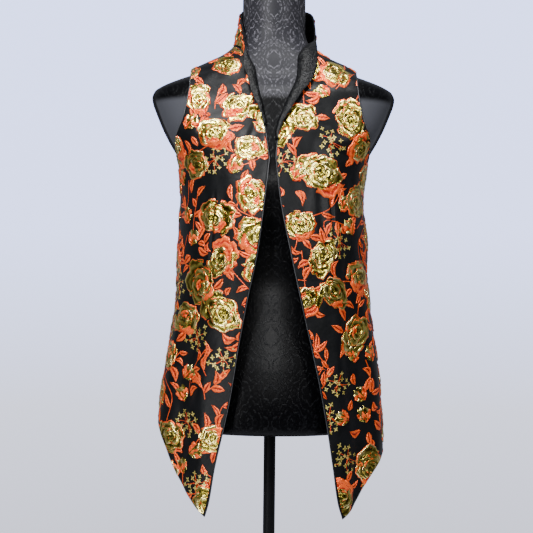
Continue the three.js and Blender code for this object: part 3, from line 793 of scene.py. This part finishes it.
front_hang_rows = 150
front_cloths, front_grids, outlines = {}, {}, {}
for side, name in ((-1, "front_right"), (1, "front_left")):
    grid = front_grid(side, front_hang_rows, yoke_rows=100, columns=120)
    flat = flat_place(side, grid)
    outlines[side] = np.concatenate([flat[0, :-1], flat[:-1, -1], flat[-1, :0:-1], flat[:0:-1, 0]])
    grid = grid + cloth_normal(grid) * wrinkle(side, flat)[..., None]
    cloth = shell(name + "_cloth", grid, ground, panel_offset, flat)
    declare(cloth, name)
    front_cloths[side] = [
        cloth,
        rolled_edge(name + "_edge", np.vstack([grid[0], grid[1:, -1]]), 0.75),
        rolled_edge(name + "_armhole", grid[front_hang_rows - 1 :, 0], 0.9),
    ]
    front_grids[side] = (grid, flat)

# ------------------------------------------------------------ woven motifs
# Gold roses and buds, orange leaves and stems and pale star sprigs. They are laid
# out on the flat cloth, cut where a panel ends and then carried onto the fronts.


def heading_vector(heading):
    return np.array([np.cos(heading), np.sin(heading)])


class Figures:
    """Triangles of one colour on the flat cloth: s, t, lift and painted shading (painted shade and painted
    highlights) of a point.
    """

    def __init__(self):
        self.points, self.faces, self.count = [], [], 0

    def add(self, grid):
        """Adds a grid of points as triangles."""
        rows, columns = grid.shape[:2]
        a = np.arange(rows * columns).reshape(rows, columns) + self.count
        low, right, up, far = a[:-1, :-1], a[:-1, 1:], a[1:, :-1], a[1:, 1:]
        self.faces.append(np.stack([low, right, far], -1).reshape(-1, 3))
        self.faces.append(np.stack([low, far, up], -1).reshape(-1, 3))
        self.points.append(grid.reshape(-1, 4))
        self.count += rows * columns


def layered(s, t, lift, shade):
    """A grid of points for a figure."""
    return np.stack(np.broadcast_arrays(s, t, lift, shade), -1)


# Shares of the way out along a petal: all of it, and its rim alone.
whole_petal = (0, 0.14, 0.28, 0.4, 0.52, 0.63, 0.74, 0.84, 0.92, 0.97, 1)
petal_rim = (0.7, 0.88, 1)


def petal(centre, spin, inner, outer, spread, base, swell, rng, rows=whole_petal):
    """A petal round a centre, with pleats across it and the rim turned down."""
    across = np.linspace(-1, 1, 9)[None]
    out = np.array(rows)[:, None]
    phase = rng.uniform(0, 2 * np.pi, 5)
    # The outline: round, with large and small scallops, and narrower further out.
    scallops = 0.07 * np.sin(5 * across + phase[0]) + 0.035 * np.sin(12 * across + phase[1])
    rim = 1 + swell * (0.5 - across**2) + scallops
    r = inner + (outer * rim - inner) * out
    angle = spin + spread * across * (1 - 0.12 * out)
    # The height: a crown, pleats, a ruffle and unevenness, less on a small petal.
    full_size, unevenness, rim_drop, most_sunk = 12, 0.05, 0.2, 0.1
    crown = 0.9 * np.sin(2.4 * out) * (1 - 0.6 * across**2)
    pleat = np.sin(9.5 * out + 1.6 * np.sin(2 * across + phase[2]) + phase[3])
    ruffle = np.sin(4 * across + phase[4]) * out
    lift = base + (crown + 0.42 * pleat + 0.4 * ruffle) * min(1, outer / full_size)
    lift = lift + rng.normal(0, unevenness, lift.shape)
    lift = np.where(out == 1, base - rim_drop, np.maximum(lift, base - most_sunk))
    # Painted light: painted shade towards the base and in the pleats' hollows, painted highlights on the
    # pleat crests and towards the rim.
    shade = np.clip(0.5 * out + 0.22 + 0.3 * pleat + 0.15 * ruffle, 0, 1)
    return layered(centre[0] + r * np.cos(angle), centre[1] + r * np.sin(angle), lift, shade)


def lengthened(grid, centre, long_way, stretch):
    """Draws a grid out along one direction and in across it."""
    off = grid[..., :2] - centre
    along = off @ long_way
    grid[..., :2] = centre + off / stretch + along[..., None] * long_way * (stretch - 1 / stretch)
    return grid


def rose(gold, orange, centre, size, cap, rng):
    """Rings of ruffled petals, each edged in orange; under the cap they are all orange."""
    long_way = heading_vector(rng.uniform(0, 2 * np.pi))
    lean = long_way * size * 0.2
    stretch = rng.uniform(1.02, 1.16)
    stray_orange = 0.09  # the share of the other petals that are orange
    # Petals, reach and height of each ring, from the outer one in.
    rings = [(5, 1.0, 0.1), (5, 0.82, 0.5), (4, 0.6, 0.9), (3, 0.38, 1.3)]
    for ring, (count, outer, base) in enumerate(rings):
        start = rng.uniform(0, 2 * np.pi)
        middle = centre + lean * ring / 4
        for i in range(count):
            spin = start + 2 * np.pi * (i + rng.normal(0, 0.12)) / count
            reach = size * outer * rng.uniform(0.76, 1.2)
            inner = max(reach - size * 0.48, 0.2)
            spread = np.pi / count * rng.uniform(1.1, 1.35)
            under_cap = cap is not None and ring < 2 and np.cos(spin - cap) > 0.3 + 0.25 * ring
            in_orange = under_cap or rng.random() < stray_orange
            state = rng.bit_generator.state
            beyond = reach + (0.9 if ring == 0 else 0.4)
            edging = petal(middle, spin, inner, beyond, spread * 1.02, base, 0.14, rng, petal_rim)
            orange.add(lengthened(edging, centre, long_way, stretch))
            rng.bit_generator.state = state
            colour = orange if in_orange else gold
            whole = petal(middle, spin, inner, reach, spread * 0.96, base + 0.15, 0.14, rng)
            colour.add(lengthened(whole, centre, long_way, stretch))


def bud(gold, orange, base, heading, size, rng):
    """A closed bud: gold petals in a fan, held by orange ones."""
    for colour, turn, reach, lift in (
        (orange, 0.5, 0.9, 0.2), (orange, -0.5, 0.9, 0.2), (gold, 0.22, 1.1, 0.35), (gold, -0.2, 1.05, 0.4),
        (orange, 0.05, 0.8, 0.6), (gold, 0.7, 0.6, 0.5), (orange, -0.75, 0.55, 0.5),
    ):
        colour.add(petal(base, heading + turn, 0.3, size * reach, 0.3, lift, 0.2, rng))


def blossom(orange, centre, size, rng):
    """A small open orange flower."""
    start = rng.uniform(0, 2 * np.pi)
    for i in range(5):
        spin = start + i * 2 * np.pi / 5
        orange.add(petal(centre, spin, size * 0.22, size, 0.52, 0.25, 0.25, rng))


def leaf(orange, base, heading, length, width, rng):
    """Two raised halves with a dark slit for the midrib."""
    slit, least = 0.5, 0.02  # half the slit's width, and a half's least width
    u = np.linspace(0, 1, 10)[:, None]
    bend = rng.normal(0, 0.16) * length
    along = heading_vector(heading)
    aside = quarter_turn(along)
    spread = 3.1 * u ** rng.uniform(0.6, 0.85) * (1 - u) * width / 2
    toothed = spread * (1 + 0.09 * np.sin(22 * u + rng.uniform(0, 6)))
    ribs = 0.16 * np.sin(26 * u + rng.uniform(0, 6))
    for hand in (-1, 1):
        v = np.linspace(0, 1, 5)[None]
        off = hand * (slit * np.sin(np.pi * u) ** 0.5 + v * np.maximum(toothed - slit, least))
        away = bend * np.sin(np.pi * u) + off
        lift = 0.2 + (0.8 + 1.6 * ribs) * np.sin(np.pi * np.clip(v, 0, 0.96)) * np.sin(np.pi * u) ** 0.5
        s = base[0] + along[0] * length * u + aside[0] * away
        t = base[1] + along[1] * length * u + aside[1] * away
        # The last value is painted shading: each half is painted darker towards the midrib slit, as painted
        # shade, and lighter towards its edge.
        orange.add(layered(s, t, lift, 0.3 + 0.7 * v + 0 * u))


def stem(orange, points, width):
    """A thin ridge along a curve; gives the curve's points and headings."""
    curve = even(np.c_[points, np.zeros(len(points))], 6 * len(points))[:, :2]
    along = np.gradient(curve, axis=0)
    aside = np.stack([-along[:, 1], along[:, 0]], 1) / np.linalg.norm(along, axis=1, keepdims=True)
    v = np.array([-1, 0, 1])[None] * width / 2
    s = curve[:, :1] + aside[:, :1] * v
    t = curve[:, 1:] + aside[:, 1:] * v
    orange.add(layered(s, t, 0.15 + 0.3 * (v == 0), 0.5))
    return curve, np.arctan2(along[:, 1], along[:, 0])


def star(pale, centre, size, spin):
    """A four-petalled star."""
    # In shares of a petal's length: its widest place, half its width there, its ends' width.
    widest, girth, blunt = 0.45, 0.25, 0.02
    for k in range(4):
        tip = heading_vector(spin + k * np.pi / 2) * size
        side_step = quarter_turn(tip) * girth
        left, right = centre + tip * widest + side_step, centre + tip * widest - side_step
        ends = [centre + tip * share for share in (0, blunt, 1, 1 + blunt)]
        rows = np.array([ends[:2], [left, right], ends[2:]])
        lift = np.array([[0.25, 0.25], [0.5, 0.5], [0.3, 0.3]])
        pale.add(layered(rows[..., 0], rows[..., 1], lift, 0.8))


def layout(width, low, high, open_zone, rose_field, seed):
    """Motifs on a flat field from s 0 to width and t low to high.

    The open zone is a span of s and one of t with few motifs, and rose_field is
    the field's area for each rose in square millimetres.
    """
    rng = np.random.default_rng(seed)
    gold, orange, pale = Figures(), Figures(), Figures()
    # Square millimetres of the field to a stem, to a sprig, and to each try at a
    # sprig or a twig.
    stem_field, sprig_field, sprig_try, twig_try = 2600, 15000, 250, 60
    # A map of the field, 2 mm to a cell, of what is taken.
    pitch, border = 2, 40
    taken = np.zeros((int((high - low) / pitch) + border, int(width / pitch) + border), bool)
    rows, columns = np.indices(taken.shape)
    field_t, field_s = low - border + rows * pitch, columns * pitch - border
    field_area = width * (high - low)
    s0, s1, t0, t1 = open_zone

    def blot(centre, radius):
        return (field_s - centre[0]) ** 2 + (field_t - centre[1]) ** 2 < radius**2

    def strip(start, heading, length, width):
        along = heading_vector(heading)
        x = (field_s - start[0]) * along[0] + (field_t - start[1]) * along[1]
        y = (field_t - start[1]) * along[0] - (field_s - start[0]) * along[1]
        return (np.abs(y) < width / 2) & (x > 0) & (x < length)

    def add_leaf(start, heading, length, width, crowding):
        area = strip(start, heading, length, width)
        if not area.any() or taken[area].mean() > crowding:
            return
        taken[area] = True
        leaf(orange, start, heading, length, width, rng)

    def is_open(place):
        return s0 < place[0] < s1 and t0 < place[1] < t1

    def is_near(place, size, share):
        """Whether a rose lies closer than a share of both their sizes."""
        return any(np.linalg.norm(place - p) < share * (size + r) for p, r in roses)

    # Roses and buds in clusters: half of the tries have to lie beside another.
    tries, sizes, largest_bud = 4000, (17, 22, 26, 29), 20
    roses, touching, beside = [], 0.93, 1.3
    for _ in range(tries):
        place = np.array([rng.uniform(-12, width + 8), rng.uniform(low - 8, high + 8)])
        size = rng.choice(sizes) * rng.uniform(0.94, 1.06)
        if is_open(place + (size * 0.4, 0)) or is_open(place - (size * 0.6, 0)):
            continue
        if is_near(place, size, touching) or (rng.random() < 0.5 and not is_near(place, size, beside)):
            continue
        roses.append((place, size))
        taken |= blot(place, size)
        if len(roses) >= field_area / rose_field:
            break
    for place, size in roses:
        cap = rng.uniform(0, 2 * np.pi) if rng.random() < 0.4 else None
        if size < largest_bud:
            bud(gold, orange, place, rng.uniform(0.1, 0.9) * np.pi, size * 1.25, rng)
        else:
            rose(gold, orange, place, size, cap, rng)
        for _ in range(rng.integers(2, 5)):
            heading = rng.uniform(0, 2 * np.pi)
            start = place + heading_vector(heading) * size * 0.9
            tip = heading + rng.normal(0, 0.5)
            add_leaf(start, tip, rng.uniform(14, 26), rng.uniform(8, 12), 0.4)

    # Leafy stems from the roses and in the open zone, some with a small flower.
    starts = [(place, size * 0.85) for place, size in roses if rng.random() < 0.6]
    for _ in range(int((s1 - s0) * (t1 - t0) / stem_field)):
        starts.append((np.array([rng.uniform(s0, s1), rng.uniform(t0, t1)]), 0))
    for place, size in starts:
        out = heading_vector(rng.uniform(0.2, 0.8) * np.pi)
        reach = rng.uniform(45, 80)
        aside = quarter_turn(out) * rng.normal(0, 12)
        points = [place + out * (size + reach * share) for share in (0, 0.45, 1)]
        points[1] = points[1] + aside
        curve, headings = stem(orange, np.array(points), 1.3)
        for k in range(4, len(curve), 4):
            turn = (-1) ** (k // 4) * rng.uniform(0.45, 0.95)
            add_leaf(curve[k], headings[k] + turn, rng.uniform(15, 26), rng.uniform(6.5, 10), 0.3)
        if rng.random() < 0.5 and not taken[blot(curve[-1], 8)].mean() > 0.3:
            taken |= blot(curve[-1], 10)
            blossom(orange, curve[-1], rng.uniform(8, 11), rng)

    # Sprigs of stars, where there is room.
    sprigs = 0
    golden_angle = 2.4
    for _ in range(int(field_area / sprig_try)):
        place = np.array([rng.uniform(-10, width), rng.uniform(low, high)])
        if sprigs >= field_area / sprig_field or taken[blot(place, 14)].mean() > 0.1:
            continue
        taken |= blot(place, 18)
        sprigs += 1
        long_way = heading_vector(rng.uniform(0, 2 * np.pi))
        for k in range(16):
            spot = heading_vector(golden_angle * k) * 4.6 * k**0.5
            spot = place + spot + long_way * (spot @ long_way) * 0.45 + rng.normal(0, 0.8, 2)
            star(pale, spot, rng.uniform(3.6, 4.8), rng.uniform(0, np.pi / 2))
            if k % 2:
                stem(orange, np.array([place, (place + spot) / 2 + rng.normal(0, 1.5, 2), spot]), 0.7)

    # Twigs of three leaves in the ground that is left.
    for _ in range(int(field_area / twig_try)):
        place = np.array([rng.uniform(-10, width), rng.uniform(low, high)])
        if taken[blot(place, 9)].mean() > 0.05 or (is_open(place) and rng.random() < 0.8):
            continue
        heading = rng.uniform(0.1, 0.9) * np.pi
        middle = place + 13 * heading_vector(heading)
        tip = middle + 12 * heading_vector(heading + rng.normal(0, 0.5))
        if taken[blot(tip, 9)].mean() > 0.1:
            continue
        curve, headings = stem(orange, np.array([place, middle, tip]), 1.3)
        for k, turn in ((len(curve) - 1, 0), (6, 0.75), (11, -0.8)):
            add_leaf(curve[k], headings[k] + turn, rng.uniform(19, 30), rng.uniform(9, 13), 0.3)
    return gold, orange, pale


def cut(points, faces, keep):
    """The triangles where keep is above 0, cut along the line where it is 0."""
    inside = keep[faces] > 0
    count = inside.sum(1)
    kept, extra, total = [faces[count == 3]], [points], len(points)
    for corners in (1, 2):
        some = faces[count == corners]
        lone = inside[count == corners] == (corners == 1)
        first = lone.argmax(1)
        a, b, c = [some[np.arange(len(some)), (first + i) % 3] for i in range(3)]
        for other in (b, c):
            share = keep[a] / (keep[a] - keep[other])
            extra.append(points[a] + (points[other] - points[a]) * share[:, None])
        i = total + np.arange(len(some))
        j = i + len(some)
        total += 2 * len(some)
        kept += [np.stack([a, i, j], 1)] if corners == 1 else [np.stack([i, b, c], 1), np.stack([i, c, j], 1)]
    faces = np.concatenate(kept)
    used, faces = np.unique(faces, return_inverse=True)
    return np.concatenate(extra)[used], faces.reshape(-1, 3)


def distance_inside(outline, flat):
    """How far points lie inside a closed outline; less than 0 outside it."""
    best = np.full(len(flat), 1e9)
    crossings = np.zeros(len(flat), int)
    for a, b in zip(outline, np.roll(outline, -1, axis=0)):
        edge = b - a
        share = np.clip(((flat - a) @ edge) / max(edge @ edge, 1e-9), 0, 1)
        best = np.minimum(best, np.linalg.norm(flat - a - share[:, None] * edge, axis=1))
        if a[1] != b[1]:
            between = (flat[:, 1] > a[1]) != (flat[:, 1] > b[1])
            crossings += between & (flat[:, 0] < a[0] + edge[0] * (flat[:, 1] - a[1]) / edge[1])
    return np.where(crossings % 2 == 1, best, -best)


def gold_thread(add):
    """Flat gilt thread, crushed; its colour carries painted light: painted highlights on ridges and rims,
    painted shade (olive) in the folds.
    """
    shade = add("Attribute", attribute_name="shade").outputs["Fac"]
    place = add("TexCoord").outputs["Object"]
    crush = add("TexNoise", {"Vector": place, "Scale": 110, "Detail": 1, "Distortion": 0.8})
    mottle = add("TexNoise", {"Vector": place, "Scale": 70, "Detail": 2})
    random_tone_and_painted_light = add("Math", [mottle, 0.5, add("Math", [shade, 0.7], "MULTIPLY")], "MULTIPLY_ADD")
    # From painted shade (dark olive) to painted highlight (pale gold), mixed by a random mottle and the
    # painted shading.
    gilt = [(0.22, "#1E1806"), (0.5, "#7E7026"), (0.75, "#CDBB52"), (1, "#FFF0A4")]
    return add("BsdfPrincipled", {
        "Base Color": add("ValToRGB", [random_tone_and_painted_light], stops=gilt),
        "Metallic": 1.0,
        "Roughness": 0.25,
        "Normal": add("Bump", {"Distance": 0.0011, "Height": crush}),
    })


def orange_thread(add):
    """Bright twisted thread with a metal glint, laid in diagonal ribs; its colour carries painted shade and
    painted highlights from the figures' painted shading.
    """
    shade = add("Attribute", attribute_name="shade").outputs["Fac"]
    waves = {"Vector": add("UVMap", uv_map="flat"), "Scale": 150, "Distortion": 3, "Detail": 2}
    rib = add("TexWave", waves, bands_direction="DIAGONAL").outputs["Fac"]
    place = add("TexCoord").outputs["Object"]
    crush = add("TexNoise", {"Vector": place, "Scale": 160, "Detail": 3})
    relief = add("Math", [rib, 0.3, crush], "MULTIPLY_ADD")
    random_tone_and_painted_light = add("Math", [crush, 0.7, shade], "MULTIPLY_ADD")
    # From painted shade (dark red) to painted highlight (bright orange), mixed by a random crush and the
    # painted shading.
    orange_shade_to_highlight = [(0.25, "#4A0E01"), (0.65, "#B82603"), (1, "#F2601C")]
    return add("BsdfPrincipled", {
        "Base Color": add("ValToRGB", [random_tone_and_painted_light], stops=orange_shade_to_highlight),
        "Metallic": 0.5,
        "Roughness": 0.3,
        "Normal": add("Bump", {"Strength": 0.8, "Distance": 0.0018, "Height": relief}),
    })


def pale_thread(add):
    """Paler gilt thread, in smooth satin stitches."""
    place = add("TexCoord").outputs["Object"]
    crush = add("TexNoise", {"Vector": place, "Scale": 300, "Detail": 2})
    return add("BsdfPrincipled", {
        "Base Color": add("ValToRGB", [crush], stops=[(0.35, "#80701F"), (0.6, "#EBD878")]),
        "Metallic": 0.6,
        "Roughness": 0.34,
        "Normal": add("Bump", {"Strength": 0.5, "Distance": 0.0008, "Height": crush}),
    })


threads = {
    "gold": finish_material("gold_thread", gold_thread),
    "orange": finish_material("orange_thread", orange_thread),
    "pale": finish_material("pale_thread", pale_thread),
}


def weave_on(name, figures, outline, carry):
    """Cuts each colour's figures to an outline and carries them onto the cloth."""
    made = []
    pitch, margin, hem = 2, 6, 1.6
    s, t = [np.arange(side.min() - margin, side.max() + margin + pitch, pitch) for side in outline.T]
    spots = np.stack(np.meshgrid(s, t), -1)
    inside = distance_inside(outline, spots.reshape(-1, 2)).reshape(spots.shape[:2])
    for colour, group in zip(threads, figures):
        points, faces = np.concatenate(group.points), np.concatenate(group.faces)
        keep = bilinear(inside, (points[:, 1] - t[0]) / pitch, (points[:, 0] - s[0]) / pitch) - hem
        points, faces = cut(points, faces, keep)
        places = carry(points[:, :2], points[:, 2])
        woven = add_mesh(f"{name}_{colour}", places, faces, threads[colour], points[:, :2])
        # Each point's painted shading: painted shade and painted highlights that the thread materials mix
        # into their colour.
        woven.data.attributes.new("shade", "FLOAT", "POINT").data.foreach_set("value", points[:, 3])
        declare(woven)
        made.append(woven)
    return made


for side, name in ((-1, "front_right"), (1, "front_left")):
    open_zone = (0, 92, -395, -245) if side < 0 else (0, 112, -420, -240)
    figures = layout(245, -545, 245, open_zone, rose_field=2900, seed=27 + 3 * side)
    woven = weave_on(name, figures, outlines[side][::3], partial(on_front, side))
    cloth, *edges = front_cloths[side]

# ------------------------------------------------------------ vest back
# One plain black panel from side seam to side seam, on the fronts' own surface.
# It is creased at the waist, below the shoulders and above the hem.


def black_satin(add):
    """A plain satin weave: a soft gloss over fine threads and slubs."""
    place = add("TexCoord").outputs["Object"]
    slub = add("TexNoise", {"Vector": place, "Scale": 60, "Detail": 3})
    threads = add("TexNoise", {"Vector": place, "Scale": 1400, "Detail": 1})
    relief = add("Math", [slub, 0.6, threads], "MULTIPLY_ADD")
    return add("BsdfPrincipled", {
        "Base Color": add("ValToRGB", [slub], stops=[(0.3, "#0C0D0F"), (0.7, "#18191C")]),
        "Roughness": 0.38,
        "Normal": add("Bump", {"Strength": 0.3, "Distance": 0.0006, "Height": relief}),
        "Specular IOR Level": 0.5,
    })


satin = finish_material("black_satin", black_satin)
shoulder_columns, neck_columns, back_hang_rows = 30, 60, 110
columns = 2 * shoulder_columns + neck_columns + 1
u = np.linspace(0, 1, columns)[None, :]
v = np.linspace(0, 1, back_hang_rows)[:, None]
z = (hems[0, 2] * (1 - u) + hems[0, 1] * u) * (1 - v) + underarm * v
hang = cloth_point(side_angle(1, z, 1) * (1 - u) + side_angle(-1, z, 1) * u, z)
left_seam = shoulder_seam(1, 1, shoulder_columns + 1)
right_seam = shoulder_seam(-1, 1, shoulder_columns + 1)[::-1]
neck = neckline(left_station, right_station, neck_columns + 1)
top_edge = np.vstack([left_seam, neck[1:-1], right_seam])
left_arm = armhole_edge(1, 1, hang[-1, 0], top_edge[0], 80)
right_arm = armhole_edge(-1, 1, hang[-1, -1], top_edge[-1], 80)
back_grid = np.concatenate([hang, patch(hang[-1], top_edge, left_arm, right_arm)[1:]])
back_cut = np.stack([lengths(back_grid), lengths(back_grid.transpose(1, 0, 2)).T], -1)
# Creases of the back, from the wearer's left: across and up, half width and depth.
back_creases = [
    ((60, 330, 190, 250), 9, 2.2), ((400, 345, 270, 262), 10, 2.4), ((70, 290, 170, 222), 7, 1.6),
    ((390, 296, 300, 232), 7, 1.6), ((130, 640, 170, 560), 8, 1.6), ((300, 640, 262, 548), 9, 1.8),
    ((90, 420, 120, 540), 9, 1.7), ((372, 410, 338, 545), 9, 1.8), ((180, 30, 188, 210), 12, 2.0),
    ((262, 20, 256, 190), 12, 1.8), ((228, 330, 222, 520), 14, 1.5),
]
flat_hem, hem_fade = 4, 20
sag = sum(dip(line, back_cut, across, deep) for line, across, deep in back_creases)
sag = sag * smooth((back_cut[..., 1] - flat_hem) / hem_fade)
back_grid = back_grid + cloth_normal(back_grid) * sag[..., None]
back = shell("back_cloth", back_grid, satin, panel_offset)
declare(back, "back")
upper = back_grid[back_hang_rows - 1 :]
back_edges = [
    rolled_edge("back_hem", back_grid[0], 0.7),
    rolled_edge("back_armhole_left", upper[:, 0], 0.9),
    rolled_edge("back_armhole_right", upper[:, -1], 0.9),
]

# ------------------------------------------------------------ collar and facing
# A stand collar that rolls open into narrow lapels: brocade outside, and a facing
# of crinkled black cloth on the neck's side.
reach = collar_stations[:, 4:7] - roots
turns = roots + cloth_normal(roots) * collar_stations[:, 3:4] + 0.2 * reach
edges = collar_stations[:, 4:7]


def collar_surface(t, s):
    """Points of the collar's middle surface, t along it and s from root to edge."""
    a, b, c = root_curve(t), rounded(turns)(t), rounded(edges)(t)
    s = np.asarray(s)[..., None]
    return a * (1 - s) ** 2 + b * 2 * s * (1 - s) + c * s**2


def collar_normal(t, s):
    along = collar_surface(t + 0.002, s) - collar_surface(t - 0.002, s)
    across = collar_surface(t, s + 0.02) - collar_surface(t, s - 0.02)
    return unit(np.cross(along, across))


t, s = np.meshgrid(np.linspace(0, 1, 260), np.linspace(0, 1, 30), indexing="ij")
middle = collar_surface(t, s)
outwards = collar_normal(t, s)
across_mm = lengths(middle)
along_mm = lengths(collar_surface(t[:, :1], s[:, :1] * 0 + 0.5)[None, :, 0])[0]
collar_flat = np.stack([across_mm, np.broadcast_to(along_mm[:, None], t.shape)], -1)
collar_cloth = shell("collar_cloth", middle, ground, collar_offset, collar_flat, outwards)


def on_collar(flat, lift):
    """Points of the collar, lifted above its outer face; s runs across, t along."""
    lift = lift + (collar_offset + cloth_thickness)
    where = np.interp(flat[:, 1], along_mm, t[:, 0])
    widest = np.interp(flat[:, 1], along_mm, across_mm[:, -1])
    share = np.clip(flat[:, 0] / widest, 0, 1)
    return collar_surface(where, share) + collar_normal(where, share) * lift[:, None]


rim = np.concatenate([collar_flat[:, 0], collar_flat[::-1, -1]])
figures = layout(80, -10, along_mm[-1] + 10, (0, 0, 0, 0), rose_field=2600, seed=41)
collar_woven = weave_on("collar", figures, rim[::4], on_collar)


def crinkled(add):
    """Black crepe, crushed into fine crinkles."""
    flat = add("UVMap", uv_map="flat")
    crush = add("TexNoise", {"Vector": flat, "Scale": 120, "Detail": 5, "Distortion": 1.2})
    fold = add("TexNoise", {"Vector": flat, "Scale": 26, "Detail": 2})
    relief = add("Math", [fold, 1.5, crush], "MULTIPLY_ADD")
    return add("BsdfPrincipled", {
        "Base Color": add("ValToRGB", [crush], stops=[(0.35, "#030304"), (0.7, "#0B0C0E")]),
        "Roughness": 0.45,
        "Normal": add("Bump", {"Strength": 1.0, "Distance": 0.003, "Height": relief}),
        "Specular IOR Level": 0.17,
    })


crepe = finish_material("black_crepe", crinkled)
facing = shell("collar_facing_cloth", middle, crepe, facing_offset, collar_flat, outwards)
declare(collar_cloth, "collar")
declare(facing, "collar_facing")
